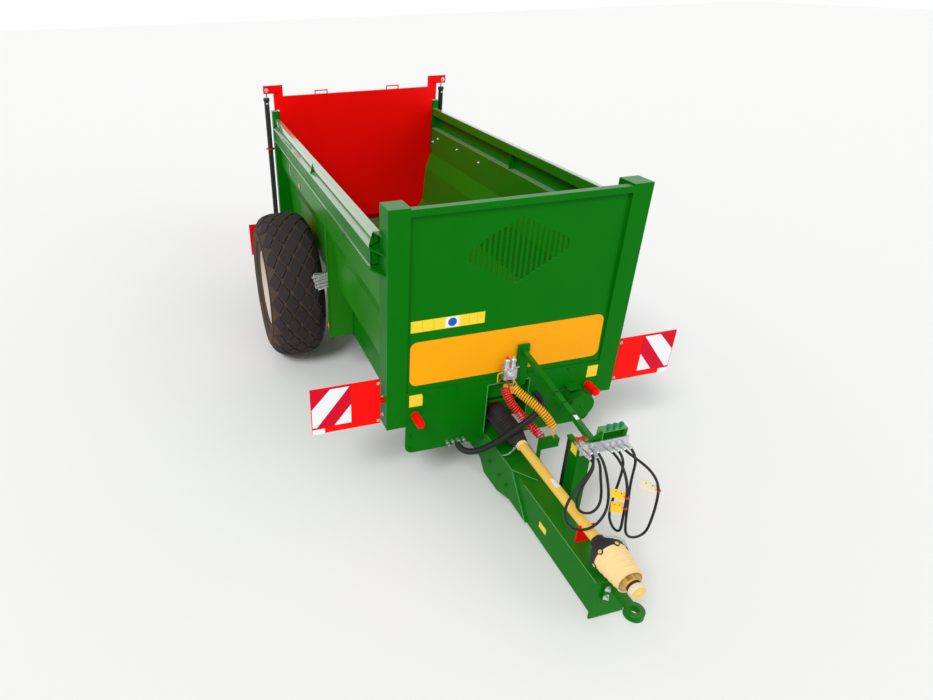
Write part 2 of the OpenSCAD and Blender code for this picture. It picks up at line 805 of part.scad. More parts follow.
// Lifting cylinders: barrels on the rear posts, rods up to the door's ears
lift_y = body_l + 72;
barrel_top = 2540;
module lift_barrels() {
    color("black") from_wall() both_sides() translate([lift_x, lift_y, 0]) difference() {
        union() {
            translate([0, 0, lug_top + seat]) cylinder(h = barrel_top - lug_top - seat, r = barrel_r);
            translate([0, 0, 1940]) cylinder(h = 10, r = 52);
        }
        translate([0, 0, 1420]) cylinder(h = barrel_top, r = rod_r + run);
    }
}
module lift_rods() {
    color("silver") from_wall() both_sides() translate([lift_x, lift_y, 0]) {
        translate([0, 0, 1440]) cylinder(h = rod_z - 1440, r = rod_r);
        translate([0, -33, rod_z]) rotate([-90, 0, 0]) cylinder(h = 50, r = 26);
    }
}

// Frame of the spreading unit: side plates and the beam over the rotors
frame_x = 880;
rotor_pin_r = 30;
module rotor_frame() {
    y1 = rotor_y + 170;
    color("green") from_wall() {
        both_sides() {
            along_x(frame_x, frame_x + 8) polygon([[body_l + 100 + seat, member_foot + 100],
                [y1, member_foot + 140], [y1, top_beam_z + 110], [body_l + 160, top_beam_z + 110],
                [body_l + 100 + seat, 1900]]);
            block([frame_x + 8, body_l + 100 + seat, member_foot + 100],
                [rear_post_out - 10, body_l + 108, 1900]);
        }
        difference() {
            block([-frame_x, rotor_y - 60, top_beam_z], [frame_x, rotor_y + 60, top_beam_z + 110]);
            block([-frame_x - 9, rotor_y - 52, top_beam_z + 30], [frame_x + 9, rotor_y + 52, top_beam_z + 102]);
            for (s = [-1, 1]) translate([s * rotor_x, rotor_y, top_beam_z - 1])
                cylinder(h = 60, r = rotor_pin_r + run);
        }
    }
}

// Gear case under the rotors
module rotor_box() {
    color("dimgray") from_wall() difference() {
        block([-frame_x + seat, rotor_y - 120, 590], [frame_x - seat, rotor_y + 120, 800]);
        for (s = [-1, 1]) translate([s * rotor_x, rotor_y, 750]) cylinder(h = 60, r = rotor_pin_r + run);
    }
}

// Upright rotor: tube, twin flight, blades, and the throwing disc with its paddles
flight_turns = 1.5;
flight_w = 24;
rotor_wall = 10;
module rotor(side) {
    z0 = disc_z + 12;
    z1 = top_beam_z - 20;
    h = z1 - z0 - 120;
    color("orangered") from_wall() translate([side * rotor_x, rotor_y, 0]) {
        translate([0, 0, 760]) cylinder(h = z0 - 760, r = rotor_pin_r);
        translate([0, 0, disc_z - 40]) cylinder(h = 41, r = 60);
        translate([0, 0, disc_z]) cylinder(h = 12, r = disc_r);
        translate([0, 0, z0 - 1]) difference() {
            cylinder(h = z1 - z0 + 1, r = rotor_tube_r);
            translate([0, 0, 20]) cylinder(h = z1 - z0, r = rotor_tube_r - rotor_wall);
        }
        translate([0, 0, z0]) cylinder(h = top_beam_z + 50 - z0, r = rotor_pin_r);
        for (s = [0, 180]) translate([0, 0, z0 + 100]) rotate([0, 0, s])
            linear_extrude(height = h, twist = -side * 360 * flight_turns, slices = 60, $fn = 4)
                translate([rotor_tube_r - 8, -flight_w / 2]) square([flight_r - rotor_tube_r + 8, flight_w]);
        for (s = [0, 180], i = [0 : 11]) {
            a = side * 360 * flight_turns * (i + 0.5) / 12 + s;
            translate([0, 0, z0 + 100 + h * (i + 0.5) / 12]) rotate([0, 0, a])
                translate([flight_r - 40, -6, -45]) cube([blade_r - flight_r + 40, 12, 90]);
        }
        for (i = [0 : 3]) rotate([0, 0, i * 90 + 45])
            translate([rotor_tube_r - 5, -5, z0 - 1]) cube([disc_r - rotor_tube_r - 10, 10, 91]);
    }
}
module rotor_left() { rotor(-1); }
module rotor_right() { rotor(1); }

// Scraper floor: two chain loops with slats on both runs
shaft_mid_z = floor_z + 0.5 - chain_r;
front_turn = 240;
rear_turn = body_l - 30;
slat_half = floor_half - member_w - 25;
module scraper_floor() {
    color("gray") from_wall() {
        for (s = [-1, 1]) translate([s * chain_x, 0, 0]) along_x(-25, 25) difference() {
            union() {
                for (y = [front_turn, rear_turn]) translate([y, shaft_mid_z]) circle(chain_r + chain_t);
                translate([front_turn, shaft_mid_z - chain_r - chain_t])
                    square([rear_turn - front_turn, 2 * (chain_r + chain_t)]);
            }
            for (y = [front_turn, rear_turn]) translate([y, shaft_mid_z]) circle(chain_r);
            translate([front_turn, shaft_mid_z - chain_r]) square([rear_turn - front_turn, 2 * chain_r]);
        }
        for (y = [front_turn + 60 : slat_pitch : rear_turn - 60]) {
            block([-slat_half, y, floor_z + 0.5], [slat_half, y + 50, floor_z + 0.5 + slat_h]);
            if (y > gearbox_back) block([-slat_half, y, shaft_mid_z - chain_r - slat_h],
                [slat_half, y + 50, shaft_mid_z - chain_r]);
        }
    }
}

// Shafts with the wheels that carry the chains
module scraper_shafts() {
    color("dimgray") from_wall() for (y = [front_turn, rear_turn])
        translate([0, y, shaft_mid_z]) rotate([0, 90, 0]) {
            translate([0, 0, -floor_half + member_t + seat])
                cylinder(h = 2 * (floor_half - member_t - seat), r = 25);
            for (s = [-1, 1]) translate([0, 0, s * chain_x - 20]) cylinder(h = 40, r = chain_r - seat);
        }
}

// Shaft that runs under the floor to the gear case
module under_shaft() {
    color("gray") from_wall() translate([0, gearbox_back + seat, shaft_z]) rotate([-90, 0, 0])
        cylinder(h = rotor_y - 120 - gearbox_back - 2 * seat, r = 22);
}

// Wheel chock in its holder behind the left panel
module wheel_chock() {
    color("silver") from_wall() translate([-half_w - sheet - 2 * seat, panel_y + 20, 1130]) mirror([1, 0, 0])
        along_x(0, 110) polygon([[0, 0], [110, 0], [70, 110]]);
}

// A round hose swept along its points. The line is rounded by a cubic B-spline, which starts and
// ends at the end points and never bends tighter than its points do.
function rounded(p0, p1, p2, p3, t) = (pow(1 - t, 3) * p0 + (3 * pow(t, 3) - 6 * t * t + 4) * p1
    + (3 * t + 3 * t * t - 3 * pow(t, 3) + 1) * p2 + pow(t, 3) * p3) / 6;
function before(p, i) = i > 0 ? p[i - 1] : 2 * p[0] - p[1];
function after(p, i) = i + 2 < len(p) ? p[i + 2] : 2 * p[i + 1] - p[i];
function smooth(p, steps) = concat([for (i = [0 : len(p) - 2], k = [0 : steps - 1])
    rounded(before(p, i), p[i], p[i + 1], after(p, i), k / steps)], [p[len(p) - 1]]);
function unit(v) = v / norm(v);
function tangents(p, c) = [for (i = [0 : len(p) - 1]) i == 0 ? unit(c[1] - c[0])
    : i == len(p) - 1 ? unit(c[len(c) - 1] - c[len(c) - 2]) : unit(p[i + 1] - p[i - 1])];
function turned(n, t) = unit(n - (n * t) * t);
function normals(t, i, n) = i >= len(t) ? []
    : let (m = turned(n, t[i])) concat([m], normals(t, i + 1, m));
module hose(points, r, sides, steps) {
    p = smooth(points, steps);
    t = tangents(p, points);
    n = normals(t, 0, [1, 0.2, 0.1]);
    ring = [for (i = [0 : len(p) - 1], k = [0 : sides - 1])
        let (b = cross(t[i], n[i]), a = 360 * k / sides) p[i] + r * (cos(a) * n[i] + sin(a) * b)];
    last = (len(p) - 1) * sides;
    side = [for (i = [0 : len(p) - 2], k = [0 : sides - 1])
        let (a = i * sides + k, b = i * sides + (k + 1) % sides) [a, b, b + sides, a + sides]];
    polyhedron(ring, concat([[for (k = [sides - 1 : -1 : 0]) k]], side,
        [[for (k = [0 : sides - 1]) last + k]]));
}

// Routes of the hoses, from the front wall's face; each ends face to face with its fitting
hose_y = fitting_end - seat;
route_one = [[20, hose_y, 1142], [20, -1154, 1142], [-6, -1207, 1126], [-54, -1246, 1096],
    [-118, -1272, 1050], [-185, -1290, 990], [-232, -1305, 915], [-240, -1325, 830], [-200, -1345, 760],
    [-130, -1357, 718], [-50, -1357, 712], [20, -1347, 745], [66, -1330, 808], [86, -1305, 875],
    [92, -1274, 945], [90, -1236, 1022], [78, -1198, 1098], [70, -1180, 1121], [66, -1155, 1137],
    [66, -1126, 1142], [66, hose_y, 1142]];
route_two = [[20, hose_y, 1100], [20, -1140, 1100], [17, -1169, 1098], [4, -1198, 1088], [-22, -1220, 1066],
    [-62, -1238, 1026], [-102, -1252, 970], [-128, -1264, 903], [-124, -1278, 835], [-68, -1290, 785],
    [0, -1292, 778],    [48, -1280, 820], [66, -1254, 885], [65, -1228, 955], [60, -1208, 1022], [60, -1199, 1052],
    [63, -1182, 1077], [66, -1156, 1094], [66, -1126, 1100], [66, hose_y, 1100]];
route_three = [[178, hose_y, 1120], [178, -1160, 1120], [178, -1210, 1112], [178, -1262, 1086],
    [180, -1300, 1045],    [183, -1328, 990], [186, -1340, 930], [189, -1344, 860], [193, -1345, 785], [197, -1345, 710],
    [201, -1348, 636], [205, -1333, 589], [209, -1293, 560], [213, -1243, 560], [217, -1203, 589],
    [220, -1190, 636], [222, -1189, 710], [223, -1191, 780], [224, -1196, 850], [225, -1202, 920],
    [225, -1206, 985],    [224, -1206, 1040], [224, -1200, 1071], [224, -1183, 1097], [224, -1157, 1114], [224, -1126, 1120],
    [224, hose_y, 1120]];
route_four = [[270, hose_y, 1120], [270, -1150, 1120], [276, -1194, 1119], [300, -1240, 1106],
    [336, -1274, 1078],    [374, -1296, 1036], [408, -1309, 985], [436, -1315, 928], [454, -1316, 866], [464, -1314, 800],
    [470, -1312, 730], [473, -1310, 655], [473, -1306, 580], [471, -1302, 512], [456, -1299, 465],
    [416, -1294, 436], [366, -1287, 436], [326, -1281, 465], [311, -1274, 512], [310, -1260, 580],
    [311, -1247, 655],    [312, -1234, 730], [313, -1222, 800], [314, -1213, 865], [315, -1208, 925], [316, -1206, 985],
    [316, -1206, 1040], [316, -1200, 1071], [316, -1183, 1097], [316, -1157, 1114], [316, -1126, 1120],
    [316, hose_y, 1120]];
route_bundle = [[-408, board_y - seat - 62 - seat, 500], [-408, -125, 500], [-380, -195, 516],
    [-325, -250, 552], [-250, -282, 605], [-170, -298, 665], [-80, -303, 725], [10, -300, 775],
    [100, -280, 808], [183, -238, 826], [247, -172, 832], [284, -96, 830], [284, -40, 830], [284, board_y - seat, 830]];
route_red = [[-36, -48, valve_foot - seat], [-36, -48, 1010], [-30, -66, 945], [-10, -98, 880],
    [40, -155, 805], [100, -225, 735], [146, -290, 685], [168, -345, 658], [170, -380, 652],
    [170, -420 + seat, 652]];
route_yellow = [[18, -48, valve_foot - seat], [18, -48, 1025], [28, -66, 985], [60, -124, 953],
    [110, -200, 922], [164, -278, 880], [210, -348, 822], [234, -386, 768], [242, -404, 728],
    [242, -404, 680 + seat]];
module hose_one() { color("black") from_wall() hose(route_one, 9, 8, 4); }
module hose_two() { color("black") from_wall() hose(route_two, 9, 8, 4); }
module hose_three() { color("black") from_wall() hose(route_three, 9, 8, 4); }
module hose_four() { color("black") from_wall() hose(route_four, 9, 8, 3); }
module hose_bundle() { color("black") from_wall() hose(route_bundle, 26, 10, 3); }
module air_hose_red() { color("red") from_wall() hose(route_red, 24, 10, 3); }
module air_hose_yellow() { color("gold") from_wall() hose(route_yellow, 24, 10, 3); }

front_frame();
front_sheet();
name_plate();
front_board();
chain_tighteners();
drum_guard();
pipe_ends();
side_wall_left();
side_wall_right();
side_rail_left();
side_rail_right();
wheel_panels();
floor_plate();
long_members();
cross_members();
axle();
tyre_left();
rim_left();
tyre_right();
rim_right();
drawbar();
towing_eye();
shaft_rest();
gearbox();
shaft_boot();
shaft_tube();
guard_bell();
shaft_guard();
shaft_yoke();
hose_arm();
hose_holder();
air_valve();
jack_sleeve();
jack_barrel();
jack_leg();
jack_rod();
marker_left();
marker_right();
rear_boards();
rear_posts();
lift_barrels();
lift_rods();
rear_door();
rotor_frame();
rotor_box();
rotor_left();
rotor_right();
scraper_floor();
scraper_shafts();
under_shaft();
wheel_chock();
hose_one();
hose_two();
hose_three();
hose_four();
hose_bundle();
air_hose_red();
air_hose_yellow();
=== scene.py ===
"""Trailed manure spreader: camera, light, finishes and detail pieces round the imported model.

Points are given in millimetres as the part's source gives them: X across the machine, Y to the
rear from the front wall's face, Z up from the ground.
"""

from __future__ import annotations

import json
import logging
import math
import random
from dataclasses import dataclass, field
from enum import Enum
from typing import Callable, Iterable, Sequence

import bpy
from mathutils import Matrix, Vector


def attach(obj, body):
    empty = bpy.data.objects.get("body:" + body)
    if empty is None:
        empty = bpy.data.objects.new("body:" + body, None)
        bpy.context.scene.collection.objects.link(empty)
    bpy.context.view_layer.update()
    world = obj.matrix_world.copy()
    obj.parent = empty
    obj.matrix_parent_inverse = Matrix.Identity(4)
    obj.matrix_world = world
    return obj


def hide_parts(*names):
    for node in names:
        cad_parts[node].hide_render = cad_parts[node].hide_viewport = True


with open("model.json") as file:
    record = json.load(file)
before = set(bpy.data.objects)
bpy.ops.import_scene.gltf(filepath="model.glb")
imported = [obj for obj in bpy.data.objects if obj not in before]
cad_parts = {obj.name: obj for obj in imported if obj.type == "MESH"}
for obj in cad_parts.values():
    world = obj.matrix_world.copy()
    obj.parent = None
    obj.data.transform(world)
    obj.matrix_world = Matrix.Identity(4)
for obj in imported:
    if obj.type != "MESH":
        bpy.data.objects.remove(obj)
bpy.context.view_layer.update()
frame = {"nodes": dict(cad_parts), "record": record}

LOG = logging.getLogger("spreader")
WALL_Y = -1736.0
Point = Sequence[float]
Triple = tuple[float, float, float]
Outline = Sequence[tuple[float, float]]
Tree = bpy.types.NodeTree
Socket = bpy.types.NodeSocket

FRONT, BACK, UP = (0, -1, 0), (0, 1, 0), (0, 0, 1)
SIDES = ((-1, "left"), (1, "right"))


def metres(point: Point) -> Vector:
    """Turns a point of the part's source into the scene's metres.

    Args:
        point: X, Y from the front wall's face, and Z, in millimetres.

    Returns:
        The same point in the frame, in metres.
    """
    return Vector((point[0] / 1000, (point[1] + WALL_Y) / 1000, point[2] / 1000))


# Finishes.


class Surface(Enum):
    """Kinds of surface, by what their grain looks like."""

    PAINT = "paint"
    RUBBER = "rubber"
    CAST = "cast"
    ZINC = "zinc"
    BRUSHED = "brushed"
    PLASTIC = "plastic"
    FILM = "film"


@dataclass(frozen=True)
class Grain:
    """How fine and how deep a surface's grain is.

    Attributes:
        scale: How fine it is.
        strength: How deep its bumps look.
        rough_span: How far its roughness varies.
        mottle: How far its colour varies.
    """

    scale: float
    strength: float
    rough_span: float
    mottle: float


GRAINS = {
    Surface.PAINT: Grain(140.0, 0.020, 0.10, 0.07),
    Surface.RUBBER: Grain(260.0, 0.22, 0.12, 0.28),
    Surface.CAST: Grain(190.0, 0.30, 0.15, 0.25),
    Surface.ZINC: Grain(90.0, 0.10, 0.18, 0.22),
    Surface.BRUSHED: Grain(320.0, 0.12, 0.15, 0.15),
    Surface.PLASTIC: Grain(420.0, 0.10, 0.08, 0.07),
    Surface.FILM: Grain(700.0, 0.04, 0.05, 0.04),
}


BROAD_SCALE = 2.3
BROAD_DETAIL = 3.0
FINE_DETAIL = 4.0
FINE_SHARE = 0.6
BROAD_SHARES = (0.0, 0.4)
NOISE_SPAN = (0.3, 0.7)
BUMP_REACH = 0.0015
COAT_ROUGH = 0.08
LEVEL_SPAN = (0.55, 0.95)
DUST_HEIGHTS = (1.5, 0.1)
DUST_SPAN = (0.15, 1.0)
PATCH_SCALE = 9.0
PATCH_DETAIL = 5.0
PATCH_SPAN = (-0.5, 1.0)
DUST_COLOUR = (0.23, 0.18, 0.115, 1)


def feed(tree: Tree, node: bpy.types.Node, inputs: dict[str | int, object]) -> None:
    """Gives each named input of a node its value, or a link from another node's output.

    Args:
        tree: The node tree.
        node: The node.
        inputs: Values and outputs by the inputs' names.
    """
    for key, value in inputs.items():
        if isinstance(value, Socket):
            tree.links.new(value, node.inputs[key])
        else:
            node.inputs[key].default_value = value


def add_node(tree: Tree, kind: str, inputs: dict[str | int, object]) -> bpy.types.Node:
    """Adds a shader node of one kind and feeds its inputs.

    Args:
        tree: The node tree.
        kind: The node's type after ShaderNode.
        inputs: Values and outputs by the inputs' names.

    Returns:
        The new node.
    """
    node = tree.nodes.new("ShaderNode" + kind)
    feed(tree, node, inputs)
    return node


def computed(tree: Tree, operation: str, values: Sequence[object], clamp: bool = False) -> Socket:
    """Returns what a maths node makes of its values.

    Args:
        tree: The node tree.
        operation: The node's operation.
        values: Its values, each a number or an output.
        clamp: Whether the result is kept from 0 to 1.

    Returns:
        The node's output.
    """
    node = tree.nodes.new("ShaderNodeMath")
    node.operation = operation
    node.use_clamp = clamp
    feed(tree, node, dict(enumerate(values)))
    return node.outputs[0]


def mixed(tree: Tree, share: Socket, first: object, second: object) -> Socket:
    """Returns a mix of two colours.

    Args:
        tree: The node tree.
        share: Share of the second colour.
        first: A colour or an output.
        second: A colour or an output.

    Returns:
        The mix's output.
    """
    node = tree.nodes.new("ShaderNodeMix")
    node.data_type = "RGBA"
    feed(tree, node, {"Factor": share, "A": first, "B": second})
    return node.outputs["Result"]


def mapped(tree: Tree, value: Socket, source: tuple[float, float], target: tuple[float, float]) -> Socket:
    """Returns a value carried from the source's span to the target's."""
    return add_node(tree, "MapRange", {"From Min": source[0], "From Max": source[1], "To Min": target[0],
                                       "To Max": target[1], "Value": value}).outputs[0]


def noise(tree: Tree, place: Socket, scale: float, detail: float) -> Socket:
    """Returns a noise of the given scale over the surface."""
    return add_node(tree, "TexNoise", {"Scale": scale, "Detail": detail, "Vector": place}).outputs["Fac"]


@dataclass(frozen=True)
class Finish:
    """One finish of the machine, made as a node material when it is first used.

    Attributes:
        name: The material's name.
        colour: Its colour, linear red, green and blue.
        rough: Its roughness.
        surface: Its kind of grain.
        metal: How metallic it is.
        coat: Weight of a clear coat.
        gloss: How much it reflects where it is seen square on.
        dust: How much dust lies on it near the ground.
        sheen: How much its level upper faces reflect, which mirror the sky.
    """

    name: str
    colour: Triple
    rough: float
    surface: Surface
    metal: float = 0.0
    coat: float = 0.0
    gloss: float = 0.25
    dust: float = 0.0
    sheen: float = 0.0

    def material(self) -> bpy.types.Material:
        """Returns this finish's material, made once."""
        made = bpy.data.materials.get(self.name + "_finish")
        return made if made else self._make()

    def _make(self) -> bpy.types.Material:
        """Builds the node material.

        Returns:
            The material.
        """
        material = bpy.data.materials.new(self.name + "_finish")
        material.use_nodes = True
        tree = material.node_tree
        shader = tree.nodes["Principled BSDF"]
        grain = GRAINS[self.surface]
        place = tree.nodes.new("ShaderNodeTexCoord").outputs["Object"]
        broad = noise(tree, place, BROAD_SCALE, BROAD_DETAIL)
        fine = noise(tree, place, grain.scale, FINE_DETAIL)
        spread = grain.rough_span / 2
        bump = add_node(tree, "Bump", {"Strength": grain.strength, "Distance": BUMP_REACH, "Height": fine})
        feed(tree, shader, {
            "Base Color": self._colour(tree, place, broad, fine),
            "Roughness": mapped(tree, broad, NOISE_SPAN, (self.rough - spread, self.rough + spread)),
            "Normal": bump.outputs["Normal"], "Metallic": self.metal, "Coat Weight": self.coat,
            "Coat Roughness": COAT_ROUGH, "Specular IOR Level": self.gloss})
        if self.sheen:
            normal = tree.nodes.new("ShaderNodeNewGeometry").outputs["Normal"]
            level = add_node(tree, "SeparateXYZ", {0: normal}).outputs["Z"]
            gloss = mapped(tree, level, LEVEL_SPAN, (self.gloss, self.sheen))
            feed(tree, shader, {"Specular IOR Level": gloss})
        return material

    def _colour(self, tree: Tree, place: Socket, broad: Socket, fine: Socket) -> Socket:
        """Mixes the colour's two tones by broad and fine grain, with dust over them.

        Args:
            tree: The material's node tree.
            place: The surface's own coordinates.
            broad: Broad noise.
            fine: Fine noise.

        Returns:
            The colour.
        """
        grain = GRAINS[self.surface]
        if self.surface is Surface.ZINC:
            fine = add_node(tree, "TexVoronoi", {"Scale": grain.scale, "Vector": place}).outputs["Distance"]
        tone = mapped(tree, broad, NOISE_SPAN, BROAD_SHARES)
        share = computed(tree, "MULTIPLY_ADD", (fine, FINE_SHARE, tone))
        dark = [c * (1 - grain.mottle) for c in self.colour]
        light = [min(1, c * (1 + grain.mottle)) for c in self.colour]
        colour = mixed(tree, share, (*dark, 1), (*light, 1))
        return self._dusted(tree, place, colour) if self.dust else colour

    def _dusted(self, tree: Tree, place: Socket, colour: Socket) -> Socket:
        """Lays dust over a colour, thicker near the ground and in patches.

        Args:
            tree: The node tree.
            place: The surface's own coordinates.
            colour: The clean colour.

        Returns:
            The dusted colour.
        """
        height = add_node(tree, "SeparateXYZ", {0: place}).outputs["Z"]
        low = mapped(tree, height, DUST_HEIGHTS, DUST_SPAN)
        patches = mapped(tree, noise(tree, place, PATCH_SCALE, PATCH_DETAIL), NOISE_SPAN, PATCH_SPAN)
        amount = computed(tree, "MULTIPLY", (low, patches))
        share = computed(tree, "MULTIPLY", (amount, self.dust), clamp=True)
        return mixed(tree, share, colour, DUST_COLOUR)


GREEN = Finish("green_paint", (0.001, 0.158, 0.002), 0.34, Surface.PAINT, gloss=0.06, dust=0.015, sheen=0.5)
# Painted light: a lighter, yellower copy of the same green paint, for side walls and faces that the sun
# lights.
GREEN_SUNLIT = Finish("green_painted_sunlight", (0.016, 0.200, 0.005), 0.32, Surface.PAINT, gloss=0.08, dust=0.015,
                    sheen=0.5)
# Painted highlight: a paler, glossier green for edges and rims, standing in for light that glints along
# them.
GREEN_HIGHLIGHT = Finish("green_painted_highlight", (0.060, 0.300, 0.055), 0.26, Surface.PAINT, coat=0.6, gloss=0.5)
# Painted glint: a green paler than the paint on the rails' lip, ledge and sole, standing in for the sun's
# and the sky's glint on them.
GREEN_GLINT = Finish("green_painted_glint", (0.230, 0.400, 0.210), 0.20, Surface.PAINT, coat=1.0, gloss=0.8)
RED = Finish("red_paint", (0.99, 0.002, 0.001), 0.36, Surface.PAINT, gloss=0.08)
ORANGE = Finish("orange_paint", (0.96, 0.385, 0.003), 0.40, Surface.PAINT, gloss=0.10)
WHITE = Finish("white_paint", (0.74, 0.64, 0.60), 0.38, Surface.PAINT, dust=0.06)
BLACK = Finish("black_paint", (0.016, 0.016, 0.017), 0.38, Surface.PAINT, dust=0.08)
DARK_STEEL = Finish("dark_steel", (0.055, 0.055, 0.058), 0.55, Surface.CAST, metal=0.4, dust=0.5)
WORN_STEEL = Finish("worn_steel", (0.36, 0.34, 0.32), 0.42, Surface.BRUSHED, metal=0.9, dust=0.15)
ZINC = Finish("galvanised", (0.60, 0.61, 0.63), 0.36, Surface.ZINC, metal=0.85)
CHROME = Finish("rod_chrome", (0.80, 0.81, 0.83), 0.10, Surface.BRUSHED, metal=1.0)
TYRE = Finish("tyre_rubber", (0.036, 0.027, 0.028), 0.74, Surface.RUBBER, gloss=0.14, dust=0.06)
TYRE_SOILED = Finish("tyre_soiled", (0.074, 0.050, 0.037), 0.86, Surface.RUBBER, gloss=0.10, dust=0.20)
HOSE = Finish("hose_rubber", (0.013, 0.013, 0.014), 0.42, Surface.PLASTIC)
SHAFT_YELLOW = Finish("guard_yellow", (0.88, 0.56, 0.11), 0.48, Surface.PLASTIC, gloss=0.2)
SHAFT_TAN = Finish("guard_tan", (0.96, 0.70, 0.33), 0.48, Surface.PLASTIC, gloss=0.2)
SHAFT_BLACK = Finish("guard_black", (0.022, 0.019, 0.024), 0.52, Surface.PLASTIC, dust=0.1)
AIR_RED = Finish("air_red", (0.72, 0.012, 0.016), 0.26, Surface.PLASTIC, coat=0.4)
AIR_YELLOW = Finish("air_yellow", (0.85, 0.42, 0.012), 0.26, Surface.PLASTIC, coat=0.4)
STICKER = Finish("sticker_yellow", (0.92, 0.66, 0.03), 0.40, Surface.FILM)
TAG = Finish("tag_yellow", (0.90, 0.56, 0.03), 0.45, Surface.FILM)
CREAM = Finish("cream_plastic", (0.80, 0.70, 0.50), 0.42, Surface.PLASTIC)
FILM_WHITE = Finish("film_white", (0.84, 0.85, 0.87), 0.24, Surface.FILM, coat=0.4)
FILM_RED = Finish("film_red", (0.66, 0.002, 0.024), 0.34, Surface.FILM, gloss=0.08)
SIGN_BLUE = Finish("sign_blue", (0.012, 0.09, 0.50), 0.35, Surface.FILM)
AMBER = Finish("amber_lens", (0.88, 0.30, 0.01), 0.15, Surface.FILM, coat=0.8)
LAMP_RED = Finish("lamp_red", (0.52, 0.006, 0.008), 0.14, Surface.FILM, coat=0.8)
COUPLING_RED = Finish("coupling_red", (0.68, 0.03, 0.03), 0.34, Surface.PLASTIC)
GRIP_GREEN = Finish("valve_green", (0.006, 0.20, 0.10), 0.34, Surface.PLASTIC)

SLOTS = {f.name: f for f in (
    GREEN, RED, ORANGE, WHITE, BLACK, DARK_STEEL, WORN_STEEL, ZINC, CHROME, TYRE, HOSE,
    SHAFT_YELLOW, SHAFT_BLACK, AIR_RED, AIR_YELLOW)}


# Meshes.


SHARP_ANGLE = math.radians(40)
NEARLY_UP = 0.9
CHAMFER_SHARE = 0.3
HALF_CORNER = 0.577


def frame_of(axis: Vector) -> tuple[Vector, Vector]:
    """Returns two unit directions square to an axis and to each other.

    Args:
        axis: The axis.

    Returns:
        Both directions.
    """
    axis = axis.normalized()
    other = Vector(UP) if abs(axis.z) < NEARLY_UP else Vector((1, 0, 0))
    side = axis.cross(other).normalized()
    return side, axis.cross(side).normalized()


def angles(count: int) -> list[float]:
    """Returns evenly spaced angles round a circle."""
    return [math.tau * k / count for k in range(count)]


def circle(centre: Vector, side: Vector, up: Vector, radius: float, count: int) -> list[Vector]:
    """Returns evenly spaced points round a circle in the plane of two directions."""
    return [centre + radius * (math.cos(a) * side + math.sin(a) * up) for a in angles(count)]


def placed(name: str, data: bpy.types.ID) -> bpy.types.Object:
    """Makes an object of some data and links it into the scene.

    Args:
        name: The object's name.
        data: Its mesh, curve, lamp or camera.

    Returns:
        The object.
    """
    piece = bpy.data.objects.new(name, data)
    bpy.context.scene.collection.objects.link(piece)
    return piece


def square_to(way: Vector, other: Vector) -> Vector:
    """Turns a direction until it is square to a way, and makes its length one."""
    return (other - way * other.dot(way)).normalized()


def oblong(x0: float, z0: float, x1: float, z1: float) -> list[tuple[float, float]]:
    """Returns the corners of an oblong between two opposite ones."""
    return [(x0, z0), (x1, z0), (x1, z1), (x0, z1)]


